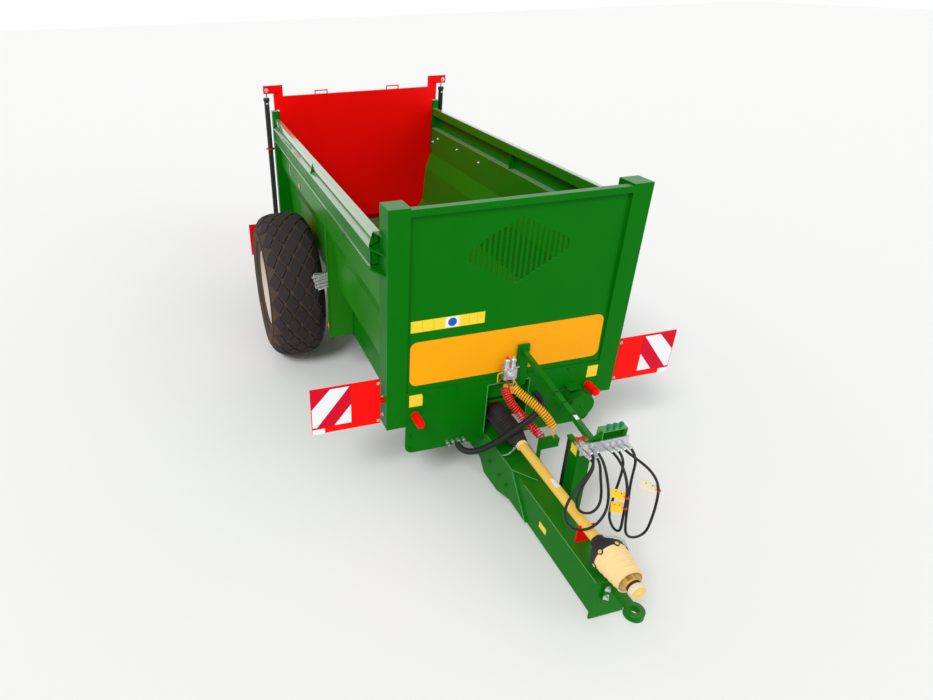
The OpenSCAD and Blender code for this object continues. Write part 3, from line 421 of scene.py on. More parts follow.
@dataclass
class Draft:
    """Collects the points and faces of one piece before it becomes an object.

    Attributes:
        points: Its points in millimetres.
        faces: The numbers of each face's points.
        marks: Each face's number in the finishes.
        smooth: Whether each face shades as a curved surface.
        finishes: The finishes that it uses.
    """

    points: list[Vector] = field(default_factory=list)
    faces: list[tuple[int, ...]] = field(default_factory=list)
    marks: list[int] = field(default_factory=list)
    smooth: list[bool] = field(default_factory=list)
    finishes: list[Finish] = field(default_factory=list)

    def add(self, points: Iterable[Point], faces: Iterable[Sequence[int]], finish: Finish,
            smooth: bool = False) -> None:
        """Adds points and faces in one finish.

        Args:
            points: Points in millimetres.
            faces: Faces that number those points from 0.
            finish: The faces' finish.
            smooth: Whether the faces shade as a curved surface.
        """
        start = len(self.points)
        self.points.extend(Vector(p) for p in points)
        if finish not in self.finishes:
            self.finishes.append(finish)
        mark = self.finishes.index(finish)
        for face in faces:
            self.faces.append(tuple(start + i for i in face))
            self.marks.append(mark)
            self.smooth.append(smooth)

    def loft(self, rings: Sequence[Sequence[Point]], finish: Finish, smooth: bool = True,
             ends: bool = True, around: bool = True) -> None:
        """Joins rings of equal count with quads.

        Args:
            rings: The rings, in order.
            finish: The surface's finish.
            smooth: Whether it shades as a curved surface.
            ends: Whether the first and last rings are closed with a face.
            around: Whether each ring is a closed loop.
        """
        count = len(rings[0])
        flat = [p for ring in rings for p in ring]
        steps = count if around else count - 1
        faces = [(r * count + k, r * count + (k + 1) % count, (r + 1) * count + (k + 1) % count,
                  (r + 1) * count + k) for r in range(len(rings) - 1) for k in range(steps)]
        self.add(flat, faces, finish, smooth)
        if ends:
            self.add(rings[0], [tuple(reversed(range(count)))], finish)
            self.add(rings[-1], [tuple(range(count))], finish)

    def block(self, low: Point, high: Point, finish: Finish, chamfer: float = 1.5) -> None:
        """Adds a block with chamfered edges.

        Args:
            low: One corner.
            high: The opposite corner.
            finish: Its finish.
            chamfer: Width of the chamfer.
        """
        low, high = (Vector(map(pick, low, high)) for pick in (min, max))
        c = min(chamfer, *((high[k] - low[k]) * CHAMFER_SHARE for k in range(3)))
        rings = []
        for z, inset in ((low.z, c), (low.z + c, 0.0), (high.z - c, 0.0), (high.z, c)):
            x0, x1, y0, y1 = low.x + inset, high.x - inset, low.y + inset, high.y - inset
            rings.append([(x0 + c, y0, z), (x1 - c, y0, z), (x1, y0 + c, z), (x1, y1 - c, z),
                          (x1 - c, y1, z), (x0 + c, y1, z), (x0, y1 - c, z), (x0, y0 + c, z)])
        self.loft(rings, finish, smooth=False)

    def prism(self, outline: Sequence[Point], offset: Point, finish: Finish) -> None:
        """Draws a flat outline out along a direction.

        Args:
            outline: Points of the outline, in one plane.
            offset: How far and which way it is drawn out.
            finish: Its finish.
        """
        low = [Vector(p) for p in outline]
        high = [p + Vector(offset) for p in low]
        self.loft([low, high], finish, smooth=False)

    def turned(self, at: Point, axis: Point, profile: Outline, finish: Finish, sides: int = 24,
               ends: bool = True, smooth: bool = True) -> None:
        """Turns a profile round an axis.

        Args:
            at: Where the profile's height is zero.
            axis: The axis's direction.
            profile: Pairs of radius and height.
            finish: Its finish.
            sides: Number of sides.
            ends: Whether its ends are closed.
            smooth: Whether it shades as a curved surface.
        """
        way = Vector(axis).normalized()
        side, up = frame_of(way)
        rings = [circle(Vector(at) + way * height, side, up, radius, sides) for radius, height in profile]
        self.loft(rings, finish, smooth, ends)

    def sweep(self, path: Sequence[Point], radius: float, finish: Finish, sides: int = 10,
              ends: bool = True) -> None:
        """Sweeps a round section along a path.

        Args:
            path: The path's points.
            radius: The section's radius.
            finish: Its finish.
            sides: Number of sides.
            ends: Whether its ends are closed.
        """
        line = [Vector(p) for p in path]
        rings = []
        normal = frame_of(line[1] - line[0])[0]
        for i, spot in enumerate(line):
            way = (line[min(i + 1, len(line) - 1)] - line[max(i - 1, 0)]).normalized()
            normal = square_to(way, normal)
            rings.append(circle(spot, normal, way.cross(normal), radius, sides))
        self.loft(rings, finish, True, ends)

    def bolt(self, at: Point, axis: Point, across: float, finish: Finish, washer: bool = True) -> None:
        """Adds a hexagon head on its washer.

        Args:
            at: The middle of its seat.
            axis: The way its head points.
            across: Width of the head.
            finish: Its finish.
            washer: Whether a washer lies under it.
        """
        way = Vector(axis).normalized()
        base = Vector(at)
        if washer:
            self.turned(base, way, [(across * 0.95, 0), (across * 0.95, across * 0.12)], finish, 16)
            base = base + way * across * 0.12
        r = across * HALF_CORNER
        head = [(r, 0), (r, across * 0.5), (r * 0.82, across * 0.62)]
        self.turned(base, way, head, finish, 6, smooth=False)
        self.turned(base, way, [(r * 0.5, across * 0.6), (r * 0.5, across * 0.85)], finish, 8)

    def object(self, name: str, replaces: Sequence[str] = (),
               body: str = "chassis") -> bpy.types.Object:
        """Makes the object and hangs it on its body.

        Args:
            name: The piece's name.
            replaces: CAD nodes that it stands for.
            body: The body that it rides on.

        Returns:
            The new object.
        """
        mesh = bpy.data.meshes.new(name)
        mesh.from_pydata([metres(p) for p in self.points], [], self.faces)
        for finish in self.finishes:
            mesh.materials.append(finish.material())
        mesh.polygons.foreach_set("material_index", self.marks)
        mesh.polygons.foreach_set("use_smooth", self.smooth)
        mesh.validate()
        mesh.set_sharp_from_angle(angle=SHARP_ANGLE)
        piece = placed(name, mesh)
        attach(piece, body)
        if replaces:
            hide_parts(*replaces)
        LOG.info("%s: %d faces on %s", name, len(self.faces), body)
        return piece


def spline(points: Sequence[Point], steps: int) -> list[Vector]:
    """Rounds a line with the cubic B-spline of the part's source.

    Args:
        points: The line's points.
        steps: Points for each stretch.

    Returns:
        The rounded line, which starts and ends at the line's ends.
    """
    line = [Vector(p) for p in points]
    line = [2 * line[0] - line[1], *line, 2 * line[-1] - line[-2]]
    out = []
    for i in range(len(line) - 3):
        p0, p1, p2, p3 = line[i:i + 4]
        for k in range(steps):
            t = k / steps
            out.append(((1 - t) ** 3 * p0 + (3 * t ** 3 - 6 * t * t + 4) * p1
                        + (3 * t + 3 * t * t - 3 * t ** 3 + 1) * p2 + t ** 3 * p3) / 6)
    return out + [line[-2]]


def length_of(path: Sequence[Vector]) -> float:
    """Returns a path's length, in its own unit."""
    return sum((b - a).length for a, b in zip(path, path[1:]))


def eased(share: float) -> float:
    """Returns a share from 0 to 1 eased at both ends."""
    return share ** 2 * (3 - 2 * share)


# View.


SENSOR = 36
VIEW_REACH = 200
PURE_WHITE = (1.0, 1.0, 1.0, 1)
FLOOR_HALF = 60
FLOOR_COLOUR = (0.93, 0.93, 0.925, 1)
FLOOR_ROUGH = 0.9


@dataclass
class Studio:
    """Camera, light and floor.

    Attributes:
        spot: The camera's place, in metres.
        yaw: How far it is turned to the right of +Y, in radians.
        pitch: How far it looks down, in radians.
        roll: How far it is rolled, in radians.
        lens: Focal length for a sensor of 36 mm.
        shift: Shift of the picture's middle.
        sky: Strength of the even sky.
        lamps: Name, direction, strength and angle of each lamp.
    """

    spot: Triple = (-2.2584, -5.6174, 3.8455)
    yaw: float = 0.2561
    pitch: float = 0.5429
    roll: float = -0.023
    lens: float = 24.954
    shift: tuple[float, float] = (0.1193, 0.0100)
    sky: float = 0.56
    lamps: tuple[tuple[str, Triple, float, float], ...] = (
        ("key", (-0.56, -0.54, 0.78), 1.65, 20.0), ("fill", (0.55, -0.80, 0.42), 0.55, 40.0))

    def build(self) -> None:
        """Builds the camera, the light and the floor."""
        self._camera()
        self._light()
        self._floor()
        bpy.context.scene.view_settings.view_transform = "Standard"

    def _camera(self) -> None:
        """Sets the camera where the photograph was taken from."""
        forward = Vector((math.sin(self.yaw) * math.cos(self.pitch),
                          math.cos(self.yaw) * math.cos(self.pitch), -math.sin(self.pitch)))
        level = Vector((math.cos(self.yaw), -math.sin(self.yaw), 0))
        up = level.cross(forward)
        right = math.cos(self.roll) * level + math.sin(self.roll) * up
        top = -math.sin(self.roll) * level + math.cos(self.roll) * up
        data = bpy.data.cameras.new("camera")
        data.sensor_width = SENSOR
        data.lens = self.lens
        data.shift_x, data.shift_y = self.shift
        data.clip_end = VIEW_REACH
        camera = placed("camera", data)
        turn = Matrix((right, top, -forward)).transposed().to_4x4()
        camera.matrix_world = Matrix.Translation(Vector(self.spot)) @ turn
        bpy.context.scene.camera = camera

    def _light(self) -> None:
        """Makes two soft lamps and an even sky, plain white where it is seen or mirrored."""
        world = bpy.data.worlds.new("sky")
        world.use_nodes = True
        tree = world.node_tree
        sky = tree.nodes["Background"]
        feed(tree, sky, {"Color": PURE_WHITE, "Strength": self.sky})
        white = add_node(tree, "Background", {"Color": PURE_WHITE, "Strength": 1.0})
        rays = tree.nodes.new("ShaderNodeLightPath").outputs
        seen = computed(tree, "MAXIMUM", (rays["Is Camera Ray"], rays["Is Glossy Ray"]))
        mix = add_node(tree, "MixShader", {"Fac": seen, 1: sky.outputs[0], 2: white.outputs[0]})
        feed(tree, tree.nodes["World Output"], {"Surface": mix.outputs[0]})
        bpy.context.scene.world = world
        for name, way, strength, angle in self.lamps:
            data = bpy.data.lights.new(name, "SUN")
            data.energy = strength
            data.angle = math.radians(angle)
            lamp = placed(name, data)
            lamp.rotation_euler = Vector(way).to_track_quat("Z", "Y").to_euler()

    def _floor(self) -> None:
        """Lays a plain pale floor."""
        mesh = bpy.data.meshes.new("floor")
        corners = [(x * FLOOR_HALF, y * FLOOR_HALF, 0) for x, y in ((-1, -1), (1, -1), (1, 1), (-1, 1))]
        mesh.from_pydata(corners, [], [(0, 1, 2, 3)])
        material = bpy.data.materials.new("floor")
        material.use_nodes = True
        feed(material.node_tree, material.node_tree.nodes["Principled BSDF"],
             {"Base Color": FLOOR_COLOUR, "Roughness": FLOOR_ROUGH})
        mesh.materials.append(material)
        floor = placed("floor", mesh)


# Hoses.


@dataclass(frozen=True)
class Route:
    """A hose's route from the part's source.

    Attributes:
        name: The CAD node that it stands for.
        points: The route's points.
        radius: Radius of the hose, or of the line that is wound to a coil.
        finish: Its finish.
    """

    name: str
    points: tuple[Triple, ...]
    radius: float
    finish: Finish


HOSE_Y = -1106.3
LOOSE_HOSES = (
    Route("hose_one", (
        (20, HOSE_Y, 1142), (20, -1154, 1142), (-6, -1207, 1126), (-54, -1246, 1096),
        (-118, -1272, 1050), (-185, -1290, 990), (-232, -1305, 915), (-240, -1325, 830),
        (-200, -1345, 760), (-130, -1357, 718), (-50, -1357, 712), (20, -1347, 745), (66, -1330, 808),
        (86, -1305, 875), (92, -1274, 945), (90, -1236, 1022), (78, -1198, 1098), (70, -1180, 1121),
        (66, -1155, 1137), (66, -1126, 1142), (66, HOSE_Y, 1142)), 9, HOSE),
    Route("hose_two", (
        (20, HOSE_Y, 1100), (20, -1140, 1100), (17, -1169, 1098), (4, -1198, 1088), (-22, -1220, 1066),
        (-62, -1238, 1026), (-102, -1252, 970), (-128, -1264, 903), (-124, -1278, 835), (-68, -1290, 785),
        (0, -1292, 778), (48, -1280, 820), (66, -1254, 885), (65, -1228, 955), (60, -1208, 1022),
        (60, -1199, 1052), (63, -1182, 1077), (66, -1156, 1094), (66, -1126, 1100), (66, HOSE_Y, 1100)),
        9, HOSE),
    Route("hose_three", (
        (178, HOSE_Y, 1120), (178, -1160, 1120), (178, -1210, 1112), (178, -1262, 1086),
        (180, -1300, 1045), (183, -1328, 990), (186, -1340, 930), (189, -1344, 860), (193, -1345, 785),
        (197, -1345, 710), (201, -1348, 636), (205, -1333, 589), (209, -1293, 560), (213, -1243, 560),
        (217, -1203, 589), (220, -1190, 636), (222, -1189, 710), (223, -1191, 780), (224, -1196, 850),
        (225, -1202, 920), (225, -1206, 985), (224, -1206, 1040), (224, -1200, 1071), (224, -1183, 1097),
        (224, -1157, 1114), (224, -1126, 1120), (224, HOSE_Y, 1120)), 9, HOSE),
    Route("hose_four", (
        (270, HOSE_Y, 1120), (270, -1150, 1120), (276, -1194, 1119), (300, -1240, 1106), (336, -1274, 1078),
        (374, -1296, 1036), (408, -1309, 985), (436, -1315, 928), (454, -1316, 866), (464, -1314, 800),
        (470, -1312, 730), (473, -1310, 655), (473, -1306, 580), (471, -1302, 512), (456, -1299, 465),
        (416, -1294, 436), (366, -1287, 436), (326, -1281, 465), (311, -1274, 512), (310, -1260, 580),
        (311, -1247, 655), (312, -1234, 730), (313, -1222, 800), (314, -1213, 865), (315, -1208, 925),
        (316, -1206, 985), (316, -1206, 1040), (316, -1200, 1071), (316, -1183, 1097),
        (316, -1157, 1114), (316, -1126, 1120), (316, HOSE_Y, 1120)), 9, HOSE),
)
BUNDLE = Route("hose_bundle", (
    (-408, -58.6, 500), (-408, -125, 500), (-380, -195, 516), (-325, -250, 552), (-250, -282, 605),
    (-170, -298, 665), (-80, -303, 725), (10, -300, 775), (100, -280, 808), (183, -238, 826),
    (247, -172, 832), (284, -96, 830), (284, -40, 830), (284, 3.7, 830)), 26, HOSE)
AIR_LINES = (
    Route("air_hose_red", (
        (-36, -48, 1059.7), (-36, -48, 1010), (-30, -66, 945), (-10, -98, 880), (40, -155, 805),
        (100, -225, 735), (146, -290, 685), (168, -345, 658), (170, -380, 652), (170, -419.7, 652)),
        7, AIR_RED),
    Route("air_hose_yellow", (
        (18, -48, 1059.7), (18, -48, 1025), (28, -66, 985), (60, -124, 953), (110, -200, 922),
        (164, -278, 880), (210, -348, 822), (234, -386, 768), (242, -404, 728), (242, -404, 680.3)),
        7, AIR_YELLOW),
)
COIL_REACH = 37.0
WRAP_DEPTH = 2.2
FIRST_NORMAL = (1, 0.2, 0.1)


@dataclass
class Hoses:
    """The four loose hoses, the black bundle and the two spiral air lines.

    Attributes:
        turn_pitch: Distance between the turns of a spiral.
        turn_points: Points for each turn.
        lead: Distance along its core over which a spiral leaves it.
        stride: Length of each step while the winding begins.
        wrap_pitch: Distance between the ridges of the bundle's wrap.
    """

    turn_pitch: float = 20.0
    turn_points: int = 14
    lead: float = 50.0
    stride: float = 8.0
    wrap_pitch: float = 9.0

    def build(self) -> None:
        for route in LOOSE_HOSES:
            self._loose(route)
        self._bundle()
        for route in AIR_LINES:
            self._spiral(route)

    def _lay(self, name: str, route: Route, path: Sequence[Vector]) -> None:
        """Makes a round curve, hangs it on the chassis and hides the CAD node that it stands for.

        Args:
            name: The piece's name.
            route: The hose's route.
            path: The curve's points in millimetres.
        """
        data = bpy.data.curves.new(name, "CURVE")
        data.dimensions = "3D"
        data.bevel_depth = route.radius / 1000
        data.bevel_resolution = 2
        data.use_fill_caps = True
        line = data.splines.new("POLY")
        line.points.add(len(path) - 1)
        for spot, p in zip(line.points, path):
            spot.co = (*metres(p), 1)
        line.use_smooth = True
        data.materials.append(route.finish.material())
        piece = placed(name, data)
        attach(piece, "chassis")
        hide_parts(route.name)

    def _loose(self, route: Route) -> None:
        """Makes one loose hose with its crimped ends.

        Args:
            route: The hose's route.
        """
        path = spline(route.points, 4)
        self._lay(route.name + "_line", route, path)
        ends = Draft()
        for spot in (path[0], path[-1]):
            ends.turned(spot, FRONT, [
                (11.5, -2), (13, 0), (13, 8), (12, 10), (13, 12), (13, 20), (12, 22), (13, 24), (13, 34),
                (10, 38)], ZINC, 16)
            ends.turned(spot, BACK, [(17.5, 1), (17.5, 14), (15, 16)], ZINC, 6, smooth=False)
        ends.object(route.name + "_crimps")

    def _bundle(self) -> None:
        """Makes the wrapped bundle as one ridged tube."""
        path = spline(BUNDLE.points, 12)
        total = length_of(path)
        count = int(total / self.wrap_pitch) * 2
        even = resample(path, count)
        rings = []
        normal = Vector(FIRST_NORMAL)
        for i, spot in enumerate(even):
            way = (even[min(i + 1, count)] - even[max(i - 1, 0)]).normalized()
            normal = square_to(way, normal)
            radius = BUNDLE.radius - (WRAP_DEPTH if i % 2 else 0)
            rings.append(circle(spot, normal, way.cross(normal), radius, 14))
        draft = Draft()
        draft.loft(rings, HOSE, True)
        piece = draft.object("hose_bundle_wrap", ["hose_bundle"])

    def _spiral(self, route: Route) -> None:
        """Makes one spiral air line: a straight lead, the coil, and a straight lead.

        Args:
            route: The route of the coil's middle.
        """
        core = resample(spline(route.points, 8), 400)
        path: list[Vector] = []
        normal = Vector(FIRST_NORMAL)
        for far, angle, reach in self._winding(length_of(core), COIL_REACH - route.radius):
            spot, way = point_at(core, far)
            normal = square_to(way, normal)
            path.append(spot + reach * (math.cos(angle) * normal + math.sin(angle) * way.cross(normal)))
        self._lay(route.name + "_coil", route, path)

    def _winding(self, total: float, radius: float) -> list[Triple]:
        """Plans a spiral that leaves its core's line, winds up, and comes back to it without a kink.

        Args:
            total: Length of the core's line.
            radius: Radius of the turns.

        Returns:
            Distance along the core, angle and distance from the core of each point.
        """
        rate = self.turn_pitch / math.hypot(self.turn_pitch, math.tau * radius)
        entry = [(self.lead * k / 10, 0.0, radius * eased(k / 10)) for k in range(11)]
        far, angle = entry[-1][:2]
        for k in range(8):
            along = 1 + (rate - 1) * eased((k + 0.5) / 8)
            far += along * self.stride
            angle += math.sqrt(1 - along ** 2) * self.stride / radius
            entry.append((far, angle, radius))
        step = math.tau / self.turn_points
        count = round((total - 2 * far) / self.turn_pitch * self.turn_points)
        pitch = (total - 2 * far) / count
        middle = [(far + pitch * k, angle + step * k, radius) for k in range(1, count)]
        last = 2 * angle + step * count
        return entry + middle + [(total - f, last - a, r) for f, a, r in reversed(entry)]


def resample(path: Sequence[Vector], count: int) -> list[Vector]:
    """Spaces points evenly along a path.

    Args:
        path: The path.
        count: Number of stretches.

    Returns:
        One point more than the stretches.
    """
    total = length_of(path)
    return [point_at(path, total * i / count)[0] for i in range(count)] + [path[-1]]


def point_at(path: Sequence[Vector], far: float) -> tuple[Vector, Vector]:
    """Finds the point at a distance along a path.

    Args:
        path: The path.
        far: The distance from its start.

    Returns:
        The point and the path's direction there.
    """
    for a, b in zip(path, path[1:]):
        step = (b - a).length
        if far <= step:
            return a + (b - a) * (far / step), (b - a) / step
        far -= step
    return path[-1], (path[-1] - path[-2]).normalized()


# Wheels.


@dataclass
class Wheel:
    """One wheel: tyre with diamond blocks, and the rim's small parts.

    Attributes:
        side: -1 for the left wheel, 1 for the right one.
        columns: Columns of blocks on each side of the middle one.
        around: Blocks in one column.
        column_step: Distance between the columns, measured along the tread.
        depth: Height of the blocks.
        block: Half size of a block's uncut diamond, across and round the tyre.
        cut: Where the diamond's tips are cut off.
        shoulder: How far the outer blocks reach down the tyre's side.
        radius: The tyre's radius.
        centre: The wheel's middle.
        section: Half of the tyre's outline from the crown down, as half width and radius.
        inside: Half of its inner outline from the bead up, as half width and radius.
        lines: Radius and half width of the raised lines on its sides.
        bolts: Number of wheel bolts.
        bolt_ring: Radius of the ring that they stand on.
    """

    side: int
    columns: int = 3
    around: int = 20
    column_step: float = 80.0
    depth: float = 15.0
    block: tuple[float, float] = (68.0, 107.0)
    cut: tuple[float, float] = (59.0, 94.0)
    shoulder: float = 96.0
    radius: float = 800.0
    centre: Triple = (1272.0, 2817.0, 800.0)
    section: tuple[tuple[float, float], ...] = (
        (0, 799.8), (88, 796), (160, 784), (210, 761.7), (250, 727), (280, 677.5), (293.3, 620),
        (287.6, 570), (264, 493.5), (240.7, 419))
    inside: tuple[tuple[float, float], ...] = ((215, 420), (255, 560), (190, 725))
    lines: tuple[tuple[float, float], ...] = ((500, 267.5), (507, 270), (645, 288.5))
    bolts: int = 10
    bolt_ring: float = 142.0

    def build(self) -> None:
        """Builds the tyre and the nuts."""
        name = "left" if self.side < 0 else "right"
        draft = Draft()
        self._carcass(draft)
        for column in range(-self.columns, self.columns + 1):
            for row in range(self.around):
                self._block(draft, column, row + (0.5 if column % 2 else 0.0))
        draft.object(f"tyre_{name}_tread", [f"tyre_{name}"], f"wheel_{name}")
        self._fittings(name)

    def _spot(self, radius: float, across: float, angle: float) -> Vector:
        """Returns the point at a radius, a distance across and an angle."""
        x, y, z = self.centre
        return Vector((self.side * (x + across), y + radius * math.cos(angle), z + radius * math.sin(angle)))

    def _skin(self, along: float, sink: float) -> tuple[float, float]:
        """Finds a place on the tread by its distance along the tread from the crown.

        Args:
            along: The distance, negative towards the machine.
            sink: How far under the outline.

        Returns:
            Distance across and radius.
        """
        far = abs(along)
        for (w0, r0), (w1, r1) in zip(self.section, self.section[1:]):
            step = math.hypot(w1 - w0, r1 - r0)
            if far <= step:
                share = far / step
                out = ((r0 - r1) / step, (w1 - w0) / step)
                break
            far -= step
        across = w0 + (w1 - w0) * share - out[0] * sink
        return math.copysign(across, along), r0 + (r1 - r0) * share - out[1] * sink

    def _carcass(self, draft: Draft) -> None:
        """Adds the tyre's body under the blocks.

        Args:
            draft: The piece that takes it.
        """
        edge, fade = 380, 60
        outer = [self._skin(along + 0.01, self.depth * min(1.0, max(0.0, (edge - along) / fade)))
                 for along in range(0, 391, 30)]
        outer += list(self.section[-3:])
        inner = list(self.inside)
        profile = outer + inner + [(-w, r) for w, r in inner[::-1] + outer[:0:-1]]
        rings = [[self._spot(r, w, a) for w, r in profile] for a in angles(80)]
        rings.append(rings[0])
        draft.loft(rings, TYRE_SOILED, True, ends=False)
        for radius, width in self.lines:
            for sign in (-1, 1):
                ring = [self._spot(radius, sign * width, a) for a in angles(72)]
                draft.sweep(ring + ring[:2], 2.4, TYRE, 6, ends=False)

    def _block(self, draft: Draft, column: int, row: float) -> None:
        """Adds one diamond block that follows the tread, with cut tips and sloping flanks.

        Args:
            draft: The piece that takes it.
            column: Its column, 0 in the middle.
            row: Its place round the tyre.
        """
        middle = column * self.column_step
        angle = row * math.tau / self.around
        (a, b), (u, v) = self.block, self.cut
        reach = self.shoulder if abs(column) == self.columns else u
        outward = 1 if column > 0 else -1
        corners = []
        for su, sv in ((1, 0), (0, 1), (-1, 0), (0, -1)):
            if su:
                far = reach if su == outward else u
                half = b * (1 - u / a) * (0.55 if far > u else 1.0)
                corners += [(su * far, -half * su), (su * far, half * su)]
            else:
                half = a * (1 - v / b)
                corners += [(half * sv, sv * v), (-half * sv, sv * v)]
        rings = []
        for sink, share in ((self.depth + 3.0, 1.07), (4.0, 1.0), (0.4, 0.94)):
            ring = []
            for cu, cv in corners:
                across, radius = self._skin(middle + cu * share, sink)
                ring.append(self._spot(radius, across, angle + cv * share / self.radius))
            rings.append(ring)
        draft.loft(rings, TYRE, smooth=False)

    def _fittings(self, name: str) -> None:
        """Adds nuts with their studs, the hub's cap and the valve.

        Args:
            name: The wheel's side, left or right.
        """
        draft = Draft()
        x, y, z = self.centre
        out = (self.side, 0, 0)

        def hub(across: float, dy: float = 0.0, dz: float = 0.0) -> Triple:
            """Places a point by its distance outwards and its offset from the wheel's axis."""
            return self.side * (x + across), y + dy, z + dz

        for a in angles(self.bolts):
            dy, dz = self.bolt_ring * math.cos(a), self.bolt_ring * math.sin(a)
            draft.turned(hub(74, dy, dz), out, [(9, 0), (9, 12), (7, 14)], ZINC, 12)
            draft.turned(hub(42.5, dy, dz), out, [(24, 0), (24, 3), (21, 5)], ZINC, 20)
        draft.turned(hub(100), out, [(62, -2), (62, 4), (54, 16), (30, 24), (0.1, 26)], DARK_STEEL, 28)
        draft.turned(hub(70), out, [(77.5, 0), (77.5, 6)], WHITE, 28)
        draft.sweep([hub(32, 0, 350), hub(60, 0, 346), hub(84, 0, 336)], 5, ZINC, 8)
        draft.object(f"wheel_{name}_nuts", body=f"wheel_{name}")


# Front wall.


@dataclass
class FrontWall:
    """Small parts and stickers on the front wall.

    Attributes:
        lean: How far its sheet leans forwards for each millimetre down.
        cap_x: Distance of the tighteners' caps from the middle.
        cap_z: Their height.
    """

    lean: float = 15.0 / 620.0
    cap_x: float = 765.0
    cap_z: float = 825.0

    def build(self) -> None:
        """Builds the stickers, the screws and the valve group."""
        self._stickers()
        self._screws()
        self._valves()

    def _face(self, height: float) -> float:
        """Returns the sheet's face at a height."""
        return 28.0 - max(0.0, (1660.0 - height) * self.lean)

    def _sheet(self, draft: Draft, x: tuple[float, float], z: tuple[float, float], finish: Finish,
               proud: float) -> None:
        """Adds a thin sticker that follows the sheet.

        Args:
            draft: The piece that takes it.
            x: Its two ends across.
            z: Its lower and upper edge.
            finish: Its finish.
            proud: How far its face stands off the sheet.
        """
        low, high = self._face(z[0]) - proud, self._face(z[1]) - proud
        draft.prism([(x[0], low, z[0]), (x[1], low, z[0]), (x[1], high, z[1]), (x[0], high, z[1])],
                    (0, 0.7, 0), finish)

    def _stickers(self) -> None:
        """Adds the bare sticker strip and the bare square stickers."""
        draft = Draft()
        self._sheet(draft, (-812, -225), (1552, 1646), STICKER, 0.9)
        self._sheet(draft, (-540, -430), (1558, 1640), FILM_WHITE, 1.6)
        disc = [(-485 + 35 * math.cos(a), 1599 + 35 * math.sin(a)) for a in angles(28)]
        draft.prism([(x, self._face(z) - 2.1, z) for x, z in disc], (0, 0.6, 0), SIGN_BLUE)
        for x in (-720, -630, -350, -285):
            self._sheet(draft, (x - 2, x + 2), (1556, 1642), ORANGE, 1.2)
        for x, y, z, size in ((-760, 3.2, 960, 55), (799, 3.2, 946, 55), (62, 39.4, 888, 56)):
            draft.prism([(u, y, v) for u, v in oblong(x - size, z - size, x + size, z + size)],
                        (0, 0.6, 0), STICKER)
        draft.object("front_stickers")

    def _screws(self) -> None:
        """Adds the screws, the tighteners' covers and the rim of the recess, whose paler green paints a
        highlight on it.
        """
        draft = Draft()
        for x in (-770, -260, 260, 770):
            for z in (1122, 1442):
                y = self._face(z) - 4.6
                draft.turned((x, y, z), FRONT, [(6, 0), (5.4, 2.2), (3, 3.2)], ORANGE, 12)
        for x in (-700, -420, 330, 560):
            draft.bolt((x, 4, 1010), FRONT, 13, GREEN)
        for s in (-1, 1):
            for z in (500, 620):
                draft.bolt((s * 800, 4, z), FRONT, 16, GREEN)
            draft.turned((s * self.cap_x, 3.6, self.cap_z), FRONT, [(44, 0), (44, 4), (36, 6)], GREEN, 28)
        for low, high in (((-157, -6, 520), (-151, 11, 990)), ((-157, -6, 986), (217, 11, 992)),
                          ((211, -6, 520), (217, 11, 990))):
            draft.block(low, high, GREEN_HIGHLIGHT, 1.5)
        for s in (-1, 1):
            draft.turned((s * self.cap_x, -144.5, self.cap_z), FRONT,
                         [(25, 0), (25, 1.5), (16, 3.5), (5, 4)], RED, 20)
        draft.object("front_screws")

    def _valves(self) -> None:
        """Adds the valve group beside the upright, with its pipes and its two line filters."""
        draft = Draft()
        for x, finish in ((-36, COUPLING_RED), (18, AIR_YELLOW)):
            draft.turned((x, -48, 1150), UP, [(18.6, 12), (21, 14), (21, 30), (18.6, 33), (18.6, 62),
                                              (24, 66), (24, 84), (20, 90), (9, 94)], ZINC, 24)
            draft.turned((x, -48, 1244), UP, [(12, 0), (12, 9), (8, 12)], finish, 16)
        draft.turned((-9, -74, 1105), FRONT, [(26, 0), (26, 12), (19, 16), (19, 30), (12, 33)], ZINC, 24)
        for x in (-52, 34):
            draft.bolt((x, -74, 1076), FRONT, 12, ZINC)
        draft.sweep([(-64, -50, 1120), (-92, -50, 1120), (-104, -50, 1108), (-104, -50, 1052),
                     (-100, -44, 1036), (-84, -30, 1026), (-60, -10, 1022), (-54, 3, 1022)],
                    5, AIR_YELLOW, 8)
        draft.sweep([(-9, -107, 1105), (-9, -124, 1105), (-9, -130, 1097), (-9, -130, 1060),
                     (-4, -122, 1036), (-2, -90, 1010), (-2, -30, 1000), (-2, 3, 1000)], 5.5, ZINC, 8)
        draft.object("air_valve_parts")


# Boards.


